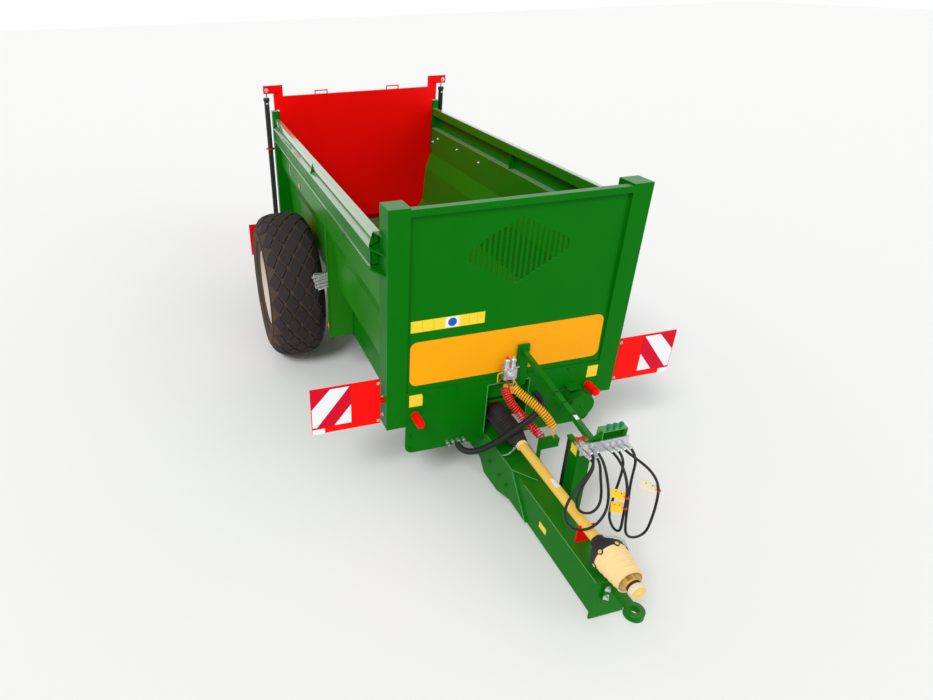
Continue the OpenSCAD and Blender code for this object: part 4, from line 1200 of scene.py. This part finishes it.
@dataclass
class MarkerBoards:
    """Films, lamps and bolts of the front and rear boards.

    Attributes:
        inner: The board's inner edge.
        width: Its width.
        foot: Its lower edge.
        height: Its height.
        face: The board's front face.
        back: Rear face of the rear boards.
    """

    inner: float = 1035.0
    width: float = 551.0
    foot: float = 777.0
    height: float = 406.0
    face: float = 45.0
    back: float = 4444.0

    def build(self) -> None:
        """Builds both sides."""
        for side, name in SIDES:
            self._front(side, name)
            self._rear(side, name)

    def _front(self, side: int, name: str) -> None:
        """Adds the film with its stripes, the lamp and the bolts of a front board.

        Args:
            side: -1 for the left side, 1 for the right one.
            name: The side's name.
        """
        draft = Draft()

        def spot(u: float, v: float, proud: float) -> Triple:
            """Places a point by its share from the outer edge and from the top."""
            return (side * (self.inner + self.width * (1 - u)), self.face - proud,
                    self.foot + self.height * (1 - v))

        def film(shares: Outline, finish: Finish, proud: float) -> None:
            """Adds one flat film.

            Args:
                shares: Its corners, as shares from the board's outer edge and from its top.
                finish: Its finish.
                proud: How far its face stands off the board.
            """
            points = [spot(u, v, proud) for u, v in shares]
            if side > 0:
                points.reverse()
            draft.prism(points, (0, 0.5, 0), finish)

        film([(0.008, 0.012), (0.008, 0.86), (0.575, 0.86), (0.575, 0.012)], FILM_RED, 0.8)
        film([(0.012, 0.44), (0.012, 0.85), (0.075, 0.85), (0.555, 0.03), (0.285, 0.03)], FILM_WHITE, 1.3)
        film([(0.325, 0.855), (0.57, 0.855), (0.57, 0.44)], FILM_WHITE, 1.3)
        draft.block(spot(0.005, 1.0, 10), spot(0.185, 0.885, 0), FILM_WHITE, 3)
        for v in (0.08, 0.93):
            draft.bolt(spot(0.965, v, 0), FRONT, 14, ZINC)
        left, right = (spot(u, 1.0, 0)[0] for u in (0.002, 0.998))
        for z in (self.foot + self.height - 3, self.foot):
            draft.block((left, self.face - 1, z), (right, self.face + 14, z + 3), RED, 1)
        draft.object(f"marker_{name}_film")

    def _rear(self, side: int, name: str) -> None:
        """Adds the lamps and the films of a rear board.

        Args:
            side: -1 for the left side, 1 for the right one.
            name: The side's name.
        """
        draft = Draft()
        for k in range(4):
            x0 = 1078 + k * 104
            ring = [(side * x, self.back + 0.2, z)
                    for x, z in ((x0, 700), (x0 + 52, 700), (x0 + 92, 972), (x0 + 40, 972))]
            draft.prism(ring if side < 0 else ring[::-1], (0, 0.8, 0), FILM_WHITE if k % 2 else FILM_RED)
        draft.block((side * 1090, self.back, 585), (side * 1470, self.back + 42, 680), BLACK, 4)
        for k, finish in enumerate((LAMP_RED, LAMP_RED, AMBER)):
            draft.turned((side * (1140 + k * 140), self.back + 42, 632), BACK,
                         [(40, 0), (40, 8), (34, 14), (18, 17), (0.1, 18)], finish, 28)
        draft.object(f"rear_{name}_lamps")


# Body.


WALL_OUT = 1000.4


def folded(line: Outline, thick: float, radius: float) -> list[tuple[float, float]]:
    """Makes the outline of a folded sheet from the line of its outer face.

    Args:
        line: The outer face's corners.
        thick: The sheet's thickness, to the right of the line.
        radius: Radius of each fold on the outer face.

    Returns:
        The closed outline, down one face and back up the other.
    """
    corners = [Vector(p) for p in line]
    outer, inner = [], []
    for i, spot in enumerate(corners):
        ways = [(corners[j + 1] - corners[j]).normalized() for j in (i - 1, i) if 0 <= j < len(corners) - 1]
        if len(ways) == 1:
            square = Vector((ways[0].y, -ways[0].x))
            outer.append(spot)
            inner.append(spot + square * thick)
            continue
        before, after = ways
        for k in range(4):
            share = k / 3
            a, b = spot - before * radius, spot + after * radius
            on = (1 - share) ** 2 * a + 2 * share * (1 - share) * spot + share ** 2 * b
            way = (before * (1 - share) + after * share).normalized()
            outer.append(on)
            inner.append(on + Vector((way.y, -way.x)) * thick)
    return [tuple(p) for p in outer + inner[::-1]]


@dataclass
class Rails:
    """The side rails: a fold with a lip, a ledge that falls outwards and a web set back under it.

    Attributes:
        inner: Face of the wall that carries the rail.
        brim: Outer edge of its top.
        outer: The rail's outer edge.
        web: Inner face of its web.
        top: Height of its top.
        foot: Height of its foot.
        start: Where it begins behind the post.
        end: Where it ends.
        thick: Thickness of its sheet.
    """

    inner: float = 995.0
    brim: float = 1046.0
    outer: float = 1075.0
    web: float = 1055.0
    top: float = 2300.0
    foot: float = 2050.0
    start: float = 200.0
    end: float = 4319.8
    thick: float = 8.0

    def build(self) -> None:
        """Builds both rails."""
        for side, name in SIDES:
            draft = Draft()
            self._sheets(draft, side)
            self._plates(draft, side)
            draft.object(f"rail_{name}_fold", [f"side_rail_{name}"])

    def _sheets(self, draft: Draft, side: int) -> None:
        """Adds the lip, the ledge, the inner face, the web and the sole.

        Args:
            draft: The piece that takes them.
            side: -1 for the left side, 1 for the right one.
        """
        top, near = self.top, self.inner + self.thick
        lip = folded([(self.brim, top - 56), (self.brim, top), (self.inner + 0.5, top)], -self.thick, 7)
        ledge = [(near, top - 76), (self.outer, top - 106), (self.outer, top - 114), (near, top - 84)]
        # The inner face takes the lighter green that paints sunlight on it.
        inside = oblong(self.inner, top - 88, near, top - 6)
        web = [(self.web, self.foot + 2), (self.web + self.thick, self.foot + 2),
               (self.web + self.thick, top - 110), (self.web, top - 108)]
        sole = oblong(self.inner, self.foot, self.outer, self.foot + self.thick)
        # The lip, the ledge and the sole take the pale green that paints a glint of light on them.
        for outline, finish in ((lip, GREEN_GLINT), (ledge, GREEN_GLINT), (inside, GREEN_SUNLIT),
                                (web, GREEN), (sole, GREEN_GLINT)):
            self._run(draft, side, outline, self.start, self.end, finish)

    def _plates(self, draft: Draft, side: int) -> None:
        """Adds the cross plates and the ties that reach forwards to the post.

        Args:
            draft: The piece that takes them.
            side: -1 for the left side, 1 for the right one.
        """
        top, foot, seen = self.top, self.foot, self.web + self.thick
        plate = [(self.inner + 1, foot + 2), (seen - 1, foot + 2), (seen - 1, top - 110),
                 (self.outer - 2, top - 112), (self.outer - 2, top - 100),
                 (self.brim - 2, top - 2), (self.inner + 1, top - 2)]
        for y in (self.start, 2160.0, self.end - self.thick):
            self._run(draft, side, plate, y, y + self.thick)
        for z, far in ((top - self.thick, self.brim), (top - 130, self.outer), (foot - 30, self.outer)):
            tie = [(side * WALL_OUT, 30, z), (side * far, self.start, z), (side * WALL_OUT, self.start, z)]
            draft.prism(tie if side > 0 else tie[::-1], (0, 0, self.thick), GREEN)
        self._run(draft, side, oblong(WALL_OUT, foot - 30, seen, foot + 2), self.start,
                  self.start + self.thick)

    def _run(self, draft: Draft, side: int, outline: Outline, y0: float, y1: float,
             finish: Finish = GREEN) -> None:
        """Draws an outline in X and Z out along the machine.

        Args:
            draft: The piece that takes it.
            side: -1 for the left side, 1 for the right one.
            outline: Its corners on the right side.
            y0: Where it begins.
            y1: Where it ends.
            finish: Its finish.
        """
        ring = [(side * x, y0, z) for x, z in outline]
        area = sum(a[0] * b[2] - b[0] * a[2] for a, b in zip(ring, ring[1:] + ring[:1]))
        draft.prism(ring if area > 0 else ring[::-1], (0, y1 - y0, 0), finish)


@dataclass
class Body:
    """Bolts, welds, reflectors and the chock's holder on the body.

    Attributes:
        length: The body's length.
        floor_out: Outer face of the walls' lowest part.
    """

    length: float = 4320.0
    floor_out: float = 760.4

    def build(self) -> None:
        """Builds the body's small parts."""
        self._panels()
        self._rail_bolts()
        self._reflectors()
        self._chock()
        self._welds()

    def _panels(self) -> None:
        """Adds the upright panels that close the slope of the walls at the rear posts."""
        draft = Draft()
        edge, top, foot = 1005.2, 1740, 556
        line = [(edge, top), (WALL_OUT, top), (930.4, 1549), (900.4, 1119), (self.floor_out, 929),
                (self.floor_out, foot), (edge, foot)]
        for s in (-1, 1):
            ring = [(s * x, self.length - 10, z) for x, z in line]
            draft.prism(ring[::-1] if s < 0 else ring, (0, 5, 0), GREEN)
        draft.object("rear_panels")

    def _rail_bolts(self) -> None:
        """Adds the bolts on the inner walls, the posts and the long members."""
        draft = Draft()
        for s in (-1, 1):
            for y, z in ((4097, 1960), (4265, 1890), (3483, 1960), (2865, 1955)):
                draft.bolt((s * 995, y, z), (-s, 0, 0), 20, ZINC)
            for z in (820, 980):
                draft.bolt((s * 1000, 94, z), (s, 0, 0), 20, ZINC)
            for y in (1500, 1600, 3700, 3800):
                draft.bolt((s * 755, y, 640), (s, 0, 0), 22, GREEN)
        draft.object("body_bolts")

    def _reflectors(self) -> None:
        """Adds the amber reflectors on both sides."""
        draft = Draft()
        for s in (-1, 1):
            for y, x, z in ((1931, 1010.4, 690), (3500, 760, 700), (900, 760, 700), (3196, 1000, 1792)):
                draft.turned((s * x, y, z), (s, 0, 0), [(33, 0), (33, 5), (28, 8), (10, 9)], AMBER, 24)
                draft.turned((s * x, y, z), (s, 0, 0), [(38, 0), (38, 2.5)], BLACK, 24)
            draft.block((s * 1000.2, 3722, 1769), (s * 1008, 3740, 1899), ZINC, 2)
        draft.object("side_reflectors")

    def _chock(self) -> None:
        """Adds the slats, the ribs, the wire and the foot of the chock's holder."""
        draft = Draft()
        x0 = -1005.6
        for i in range(5):
            z, far = 1262 - 34 * i, x0 - 158 + 14 * i
            draft.prism([(x0 + 1, 1906, z), (x0 + 1, 1906, z + 19), (far, 1906, z - 5), (far, 1906, z - 24)],
                        (0, 12, 0), ZINC)
        for x, top in ((x0 - 30, 1284), (x0 - 104, 1272)):
            draft.block((x, 1912, 1118), (x + 8, 1919, top), ZINC, 1)
        draft.sweep([(x0 - 8, 1915, 1126), (x0 - 118, 1915, 1126), (x0 - 124, 1922, 1132),
                     (x0 - 124, 1990, 1240), (x0 - 118, 1996, 1246), (x0 - 8, 1996, 1246)], 4.5, ZINC, 8)
        draft.block((x0 - 24, 1905, 1118), (x0 + 0.4, 2050, 1126), GREEN, 2)
        draft.object("chock_holder")

    def _welds(self) -> None:
        """Adds weld beads along the long joints."""
        draft = Draft()
        rng = random.Random(7)
        runs = []
        for s in (-1, 1):
            runs += [((s * WALL_OUT, 190, 2051), (s * WALL_OUT, 4300, 2051)),
                     ((s * 841, 30, 1100), (s * 841, 30, 2400)),
                     ((s * 1001, 1899, 600), (s * 1001, 1899, 1700))]
        for a, b in runs:
            start, end = Vector(a), Vector(b)
            count = int((end - start).length / 14)
            side, up = frame_of(end - start)
            rings = [circle(start + (end - start) * (i / count), side, up,
                            2.6 + 0.9 * (i % 2) + rng.uniform(-0.2, 0.2), 6) for i in range(count + 1)]
            draft.loft(rings, GREEN, True)
        draft.object("weld_beads")


# Drawbar and shaft.


@dataclass
class Drawbar:
    """Bolts, stickers and couplings on the drawbar and the hose arm.

    Attributes:
        reach: How far the drawbar reaches before the wall.
        cheek: Outer face of its cheek plates.
        arm_x: Distance of the hose arm from the middle.
        arm_z: The arm's height at the wall.
        arm_drop: How steeply the arm falls forwards.
    """

    reach: float = 1600.0
    cheek: float = 131.5
    arm_x: float = 120.0
    arm_z: float = 1262.0
    arm_drop: float = math.radians(8.3)

    def build(self) -> None:
        """Builds the drawbar's and the arm's small parts."""
        self._plates()
        self._arm()
        self._tags()
        self._couplings()

    def _on_arm(self, along: float, x: float, z: float) -> Vector:
        """Returns a point on the arm, by its distance from the wall and its place round the middle."""
        c, s = math.cos(self.arm_drop), math.sin(self.arm_drop)
        return Vector((self.arm_x + x, -along * c - z * s, self.arm_z - along * s + z * c))

    def _plates(self) -> None:
        """Adds the bolts, the edges' beads in a paler green that paints a highlight on them, the bare
        sticker and the eye's ring.
        """
        draft = Draft()
        for x in (-55, 55):
            for z in (385, 462):
                draft.bolt((x, -self.reach - 36, z), FRONT, 24, ZINC)
        for s in (-1, 1):
            for y in (-420, -300, -120):
                draft.bolt((s * self.cheek, y, 300), (s, 0, 0), 20, GREEN)
            draft.sweep([(s * 116.5, -650, 489.5), (s * 116.5, -1595, 489.5)], 3.4, GREEN_HIGHLIGHT, 6)
            bend = (0, -640, 500) if s < 0 else (60, -560, 500)
            for line in ([(s * self.cheek, -20, 500), (s * self.cheek, -480, 500), bend],
                         [(s * self.cheek, -482, 489), (s * self.cheek, -755, 205)],
                         [(s * 118, -1599, 490), (s * 118, -1599, 206)]):
                draft.sweep(line, 4.0, GREEN_HIGHLIGHT, 6)
        draft.prism([(-118.3, y, z) for y, z in oblong(-912, 372, -1006, 318)], (0.6, 0, 0), STICKER)
        draft.turned((0, -1826, 455), UP, [(26, 22.6), (60, 22.6), (58, 24.5), (29, 24.5)], GREEN, 48,
                     ends=False)
        draft.object("drawbar_bolts")

    def _arm(self) -> None:
        """Adds the ties round the arm and the thin lines that they hold."""
        draft = Draft()
        for along in (520, 634, 755):
            ring = []
            for a in range(0, 360, 30):
                c, s = math.cos(math.radians(a)), math.sin(math.radians(a))
                k = 23.0 / max(abs(c), abs(s))
                ring.append(self._on_arm(along, c * min(k, 29), s * min(k, 29)))
            draft.sweep(ring + ring[:2], 3.0, BLACK, 6, ends=False)
            tip = self._on_arm(along, 22, 22)
            tail = [tip + Vector(step) for step in ((0, 0, 0), (16, -4, 14), (44, -12, 18), (76, -26, 6))]
            draft.sweep(spline(tail, 4), 2.2, BLACK, 6)
        line = [self._on_arm(along, -8 + 3 * math.sin(along / 90), -27) for along in range(60, 1040, 70)]
        draft.sweep(spline(line, 3), 5.0, HOSE, 8)
        flat = [self._on_arm(along, x, 20.6) for along, x in ((770, -14), (770, 14), (815, 14), (815, -14))]
        draft.prism(flat, (0, 0, 0.6), FILM_WHITE)
        draft.object("arm_ties")

    def _tags(self) -> None:
        """Adds the bare tags that hang on the loose hoses, with their red ties."""
        draft = Draft()
        for spot, finish, wide, high, tilt in (
                ((188, -1342, 905), TAG, 88, 60, 0.0), ((192, -1345, 815), TAG, 74, 72, 0.25),
                ((455, -1316, 872), CREAM, 112, 62, -0.05)):
            centre = Vector(spot)
            u = Vector((0.80, -0.55, -0.20)).normalized()
            v = square_to(u, Vector((0.15, 0.35, 0.92)))
            along, up = u * math.cos(tilt) + v * math.sin(tilt), v * math.cos(tilt) - u * math.sin(tilt)
            near, far, half = centre - along * 14, centre - along * (14 + wide), up * high / 2
            draft.prism([near - half, near + half, far + half, far - half], along.cross(up) * 1.6, finish)
            for share in (0.3, 0.7):
                rivet = far + half + (near - far) * share - half * 0.5
                draft.turned(rivet, along.cross(up), [(4, 0.4), (4, 2.4)], BLACK, 10)
            draft.turned(centre, (0.05, 0.05, 1), [(11, -7), (13, -6), (13, 6), (11, 7)], COUPLING_RED, 14)
            draft.sweep([centre - along * 9, centre - along * 26], 2.4, COUPLING_RED, 6)
        draft.object("hose_tags")

    def _couplings(self) -> None:
        """Adds the couplings, and the tray with its valve grips and gusset behind the cross plate."""
        draft = Draft()
        for i, (x, z) in enumerate(((20, 1142), (66, 1142), (20, 1100), (66, 1100), (178, 1120), (224, 1120),
                                    (270, 1120), (316, 1120))):
            draft.turned((x, -1058, z), FRONT, [(21, 8.2), (21, 16), (18, 19), (17, 47)], ZINC, 6,
                         smooth=False)
            draft.turned((x, -1028, z), BACK,
                         [(12, -30), (19, -28), (19, 0), (16.2, 2), (16.2, 22), (13, 26)], ZINC, 20)
            cap = COUPLING_RED if i in (0, 1, 3) else GRIP_GREEN if i in (4, 6) else ZINC
            draft.turned((x, -1002, z), BACK, [(13, 0), (18, 3), (18, 14), (15, 20), (9, 34), (8, 46)],
                         cap, 20)
        # The tray's rims take the paler green that paints a highlight on them.
        for low, high, finish in (((150, -1022, 1150), (326, -1016, 1224), GREEN),
                                  ((150, -1050, 1150), (326, -1022, 1156), GREEN),
                                  ((144, -1054, 1220), (332, -986, 1226), GREEN_HIGHLIGHT),
                                  ((144, -1054, 1086), (150, -986, 1222), GREEN_HIGHLIGHT),
                                  ((326, -1054, 1086), (332, -986, 1222), GREEN_HIGHLIGHT)):
            draft.block(low, high, finish, 2)
        for x in (190, 238, 286):
            draft.turned((x, -1030, 1226), (0.1, -0.1, 1),
                         [(9, 0), (9, 14), (15, 20), (15, 34), (10, 40)], GRIP_GREEN, 16)
        draft.prism([(140, -1046, 1150), (30, -1046, 1166), (140, -1046, 1236)], (0, 6, 0), GREEN)
        draft.object("parked_couplings")


@dataclass
class DriveShaft:
    """The drive shaft's guard: clips, ridges, chain and bands.

    Attributes:
        height: The shaft's height.
        bell: Where the black bell begins.
        collar: Where the yoke's collar begins.
        tube: Radius of the film on the tube.
    """

    height: float = 622.0
    bell: float = -1410.0
    collar: float = -1750.0
    tube: float = 37.4

    def build(self) -> None:
        """Builds the shaft's small parts."""
        draft = Draft()
        self._clips(draft)
        self._boot(draft)
        self._chain(draft)
        draft.object("shaft_fittings")
        self._yoke()

    def _clips(self, draft: Draft) -> None:
        """Adds the clips that hold the cone to the bell, and the bell's ribs.

        Args:
            draft: The piece that takes them.
        """
        for a in map(math.radians, range(20, 380, 60)):
            way = Vector((math.cos(a), 0, math.sin(a)))
            base = Vector((0, self.bell - 122, self.height)) + way * 114 + way * 2
            draft.turned(base, way, [(19, -6), (19, 1), (16, 3)], SHAFT_BLACK, 16)
            draft.turned(base, way, [(13, 0), (13, 5), (9, 7)], SHAFT_YELLOW, 14)
        for a in map(math.radians, range(0, 360, 10)):
            way = Vector((math.cos(a), 0, math.sin(a)))
            start = Vector((0, self.bell - 84, self.height)) + way * 115.5
            draft.sweep([start, start + Vector((0, -16, 0)) + way * 0.8], 1.8, SHAFT_BLACK, 5)

    def _band(self, draft: Draft, y: float, profile: Outline, finish: Finish, sides: int) -> None:
        """Turns a profile round the shaft's line, from a distance before the wall forwards."""
        draft.turned((0, y, self.height), FRONT, profile, finish, sides)

    def _boot(self, draft: Draft) -> None:
        """Adds the ridges of the rear boot, the tube's collars and the bare film on the tube.

        Args:
            draft: The piece that takes them.
        """
        for y in range(90, -216, -34):
            self._band(draft, y, [(88.2, 0), (90.5, 3), (90.5, 9), (88.2, 12)], SHAFT_BLACK, 40)
        for y, r in ((-232, 80), (-262, 73), (-296, 65), (-330, 57)):
            self._band(draft, y, [(r, 0), (r + 1.5, 4), (r - 1, 10)], SHAFT_BLACK, 40)
        self._band(draft, -351, [(38, 0), (47, 2), (47, 16), (38, 20)], SHAFT_TAN, 32)
        self._band(draft, -1392, [(38, -10), (49, -8), (49, 12), (44, 17)], SHAFT_BLACK, 32)
        for k in range(5):
            a0, a1 = (math.radians(60 + 12 * k + d) for d in (0, 12))
            flat = [(self.tube * math.cos(a), y, self.height + self.tube * math.sin(a))
                    for a, y in ((a0, -900), (a1, -900), (a1, -805), (a0, -805))]
            draft.prism(flat, (0, 0, 0.4), FILM_WHITE)

    def _chain(self, draft: Draft) -> None:
        """Adds the safety chains as loops of small links.

        Args:
            draft: The piece that takes them.
        """
        for path in (
                [(44, -366, 640), (70, -380, 600), (96, -400, 560), (112, -420, 525), (112, -440, 512)],
                [(-46, -366, 640), (-80, -372, 600), (-110, -360, 556), (-128, -330, 530),
                 (-128, -300, 505)],
                [(48, -1398, 650), (96, -1420, 668), (122, -1455, 676), (126, -1500, 668),
                 (116, -1530, 660)]):
            even = resample(spline(path, 6), max(8, int(length_of([Vector(p) for p in path]) / 13)))
            for i, (a, b) in enumerate(zip(even, even[1:])):
                link(draft, (a + b) / 2, (b - a).normalized(), 10, 5.5, 1.7, ZINC, bool(i % 2))

    def _yoke(self) -> None:
        """Adds the bands of the yoke's collar and its cross."""
        draft = Draft()
        self._band(draft, self.collar, [(44.3, 12), (49, 14), (49, 27), (44.3, 29)], SHAFT_BLACK, 36)
        self._band(draft, self.collar, [(44.3, 32), (52, 36), (52, 58), (48, 68), (40, 70)], CREAM, 36)
        for way, reach in (((1, 0, 0), 40), (UP, 36)):
            draft.turned((0, -1655, self.height), way,
                         [(13, -reach), (15, 2 - reach), (15, reach - 2), (13, reach)], DARK_STEEL, 20)
        draft.object("yoke_bands", body="yoke")


def link(draft: Draft, at: Vector, way: Vector, long: float, wide: float, wire: float, finish: Finish,
         turned: bool) -> None:
    """Adds one oval chain link.

    Args:
        draft: The piece that takes it.
        at: Its middle.
        way: The chain's direction.
        long: Half its length.
        wide: Half its width.
        wire: Radius of its wire.
        finish: Its finish.
        turned: Whether it stands square to the links beside it.
    """
    side, up = frame_of(way)
    across = up if turned else side
    ring = [at + way * (long * math.cos(a)) + across * (wide * math.sin(a)) for a in angles(10)]
    draft.sweep(ring + ring[:2], wire, finish, 5, ends=False)


# Jack, door and spreading unit.


def spoke(angle: float) -> tuple[Vector, Vector]:
    """Returns the level directions outwards and onwards at an angle round an upright axis."""
    c, s = math.cos(angle), math.sin(angle)
    return Vector((c, s, 0)), Vector((-s, c, 0))


@dataclass
class Rear:
    """Details of the door, the lifting cylinders, the rotors, the floor's chains and the jack.

    Attributes:
        end: The body's rear end.
        chain_x: Distance of each chain from the middle.
        lift_x: Distance of each lifting cylinder from the middle.
        ports: Heights of its two ports.
        pin_z: Height of the pins in the door's ears.
        rotor_x: Distance of each rotor from the middle.
        rotor_y: How far back the rotors stand.
        jack: The jack's place across and along the machine.
    """

    end: float = 4320.0
    chain_x: float = 430.0
    lift_x: float = 1122.0
    ports: tuple[float, float] = (1090.0, 2475.0)
    pin_z: float = 2630.0
    rotor_x: float = 440.0
    rotor_y: float = 4945.0
    jack: tuple[float, float] = (231.5, -755.0)

    def build(self) -> None:
        """Builds the pieces at the rear."""
        self._door()
        self._cylinders()
        self._rotors()
        self._gear_case()
        self._chains()
        self._jack()

    def _door(self) -> None:
        """Adds the door's lip, its guide rollers, its bolts and the ears' plates and lugs."""
        draft = Draft()
        y = self.end + 13
        for s in (-1, 1):
            for x in (80, 260, 620, 900):
                draft.bolt((s * x, y + 34, 2539), BACK, 15, ZINC)
            draft.bolt((s * self.lift_x, y + 8, self.pin_z), FRONT, 26, ZINC)
            for z in (1250, 2100):
                draft.turned((s * 975, y + 30, z), (s, 0, 0), [(20, -20), (20, 6), (17, 8)], DARK_STEEL, 20)
            draft.block((s * 984, y + 8, 2402), (s * 1040, y + 26, 2600), RED, 2)
            draft.turned((s * self.lift_x, y + 7, self.pin_z), BACK, [(38, 0), (38, 20)], RED, 28)
        draft.block((-980, y - 0.5, 2546), (980, y + 34.5, 2555), RED, 2)
        draft.object("door_fittings", body="door")

    def _cylinders(self) -> None:
        """Adds glands, caps, ports and the red ring on the lifting cylinders."""
        draft = Draft()
        y = self.end + 72
        low, high = self.ports
        for s in (-1, 1):
            x = s * self.lift_x
            for z, profile, finish, sides in (
                    (2500, [(30.5, 0), (37, 3), (37, 34), (34, 39.5), (17, 39.8)], BLACK, 28),
                    (1044, [(30.5, 0), (38, 2), (38, 24), (30.5, 28)], BLACK, 28),
                    (1940, [(52.4, -1), (52.4, 11), (46, 14)], RED, 32)):
                draft.turned((x, y, z), UP, profile, finish, sides)
            for z in self.ports:
                draft.turned((x, y - 24, z), FRONT, [(13, 0), (13, 16), (9, 18), (9, 26)], ZINC, 12)
            line = [(x - s * into, y - far, z) for into, far, z in (
                (0, 48, high), (0, 58, 2440), (6, 58, 2300), (8, 56, 1900), (8, 56, 1400), (0, 58, 1130),
                (0, 48, low))]
            draft.sweep(spline(line, 4), 7, HOSE, 8)
        draft.object("cylinder_parts")

    def _rotors(self) -> None:
        """Adds the bolts of the blades and of the throwing paddles, and each rotor's top ring."""
        for side, name in SIDES:
            draft = Draft()
            axis = Vector((side * self.rotor_x, self.rotor_y, 0))
            foot, height = 962, 1128
            for s in (0, 180):
                for i in range(12):
                    way, out = spoke(math.radians(side * 540 * (i + 0.5) / 12 + s))
                    spot = axis + Vector((0, 0, foot + height * (i + 0.5) / 12)) + way * 352
                    for dz in (-24, 24):
                        draft.bolt(spot + Vector((0, 0, dz)) - out * 6, -out, 13, ZINC, washer=False)
            for degrees in range(45, 405, 90):
                way, out = spoke(math.radians(degrees))
                for r in (190, 350):
                    spot = axis + Vector((0, 0, 905)) + way * r + out * 5
                    draft.bolt(spot, out, 14, ZINC, washer=False)
            draft.turned(axis + Vector((0, 0, 2085)), UP, [(111, 0), (124, 3), (124, 18), (111, 21)], RED,
                         40, ends=False)
            draft.object(f"rotor_{name}_bolts", body=f"rotor_{name}")

    def _gear_case(self) -> None:
        """Adds bolts, ribs and covers to the gear case and the top beam."""
        draft = Draft()
        for s in (-1, 1):
            axis = Vector((s * self.rotor_x, self.rotor_y, 0))
            for z, cover, radius, seat, first, step in (
                    (800, [(140, 0), (140, 10), (120, 14), (62, 16)], 128, 809, 22, 45),
                    (2240, [(90, 0), (90, 10), (70, 14), (20, 15)], 76, 2250, 45, 90)):
                draft.turned(axis + Vector((0, 0, z)), UP, cover, DARK_STEEL, 40 if z < 1000 else 32)
                for degrees in range(first, first + 360, step):
                    way = spoke(math.radians(degrees))[0]
                    draft.bolt(axis + way * radius + Vector((0, 0, seat)), UP, 16, ZINC, False)
        for x in (-780, -520, -260, 0, 260, 520, 780):
            for y in (self.rotor_y - 126, self.rotor_y + 119):
                draft.block((x - 6, y, 600), (x + 6, y + 7, 790), DARK_STEEL, 2)
        draft.object("gear_case_parts")

    def _chains(self) -> None:
        """Adds round links over the scraper's two chains."""
        draft = Draft()
        mid, radius = 825.5, 112.0
        start, end = 240.0, self.end - 30
        bends = [(radius * math.sin(a), radius * math.cos(a)) for a in angles(16)[1:8]]
        loop = [Vector((0, y, mid + radius)) for y in range(int(start), int(end), 42)]
        loop += [Vector((0, end + far, mid + rise)) for far, rise in bends]
        loop += [Vector((0, y, mid - radius)) for y in range(int(end), int(start), -42)]
        loop += [Vector((0, start - far, mid - rise)) for far, rise in bends]
        for s in (-1, 1):
            for i, (a, b) in enumerate(zip(loop, loop[1:])):
                shift = Vector((s * self.chain_x, 0, 0))
                link(draft, (a + b) / 2 + shift, (b - a).normalized(), 30, 17, 6.5, WORN_STEEL, bool(i % 2))
        draft.object("scraper_links")

    def _jack(self) -> None:
        """Adds the jack's pin, its collars, two bolts and the bare sticker."""
        draft = Draft()
        x, y = self.jack
        draft.turned((x, y - 56, 330), FRONT, [(12, -3), (12, 10), (9, 13)], ZINC, 16)
        for half, z0, z1 in ((60, 250, 262), (58, 894, 902)):
            draft.block((x - half, y - half, z0), (x + half, y + half, z1), GREEN, 2)
        for z in (350, 420):
            draft.bolt((x - 56, y - 20, z), (-1, 0, 0), 20, ZINC)
        draft.prism([(x - 55.6, v, z) for v, z in oblong(y - 36, 812, y + 36, 886)], (-0.7, 0, 0), STICKER)
        draft.object("jack_fittings")


# CAD nodes.


# The side walls, wheel panels and floor plate take the lighter green that paints sunlight on them.
OWN_FINISH = {"side_wall_left": GREEN_SUNLIT, "side_wall_right": GREEN_SUNLIT, "wheel_panels": GREEN_SUNLIT,
              "floor_plate": GREEN_SUNLIT, "shaft_guard": SHAFT_TAN}
BEVELLED = ("front_frame", "drawbar", "hose_arm", "jack_sleeve", "rear_door", "name_plate",
            "marker_left", "marker_right", "rear_boards", "rear_posts", "shaft_rest")
BRACKET_FRONT = -300
WELD_REACH = 0.00005
EDGE_WIDTH = 0.0018
EDGE_ANGLE = math.radians(50)


def dress_nodes() -> None:
    """Gives every CAD node the material of its slot, and a fine bevel where it is folded or welded."""
    slots = {part["node"]: part["material_slot"] for part in frame["record"]["subparts"]}
    for name, node in frame["nodes"].items():
        finish = OWN_FINISH.get(name, SLOTS[slots[name]])
        node.data.materials.clear()
        node.data.materials.append(finish.material())
    valve = frame["nodes"]["air_valve"]
    valve.data.materials.append(GREEN.material())
    for face in valve.data.polygons:
        if (valve.matrix_world @ face.center).y < metres((0, BRACKET_FRONT, 0)).y:
            face.material_index = 1
    for name in BEVELLED:
        node = frame["nodes"][name]
        weld = node.modifiers.new("weld", "WELD")
        weld.merge_threshold = WELD_REACH
        edge = node.modifiers.new("edge", "BEVEL")
        edge.width = EDGE_WIDTH
        edge.segments = 2
        edge.limit_method = "ANGLE"
        edge.angle_limit = EDGE_ANGLE


def main() -> None:
    """Builds the camera and the cords first, then each sub-assembly in order."""
    logging.basicConfig(level=logging.INFO, format="%(message)s")
    Studio().build()
    Hoses().build()
    dress_nodes()
    builders: tuple[Callable[[], None], ...] = (
        Wheel(-1).build, Wheel(1).build, FrontWall().build, MarkerBoards().build, Rails().build,
        Body().build, Drawbar().build, DriveShaft().build, Rear().build)
    for build in builders:
        build()


if __name__ == "__main__":
    main()
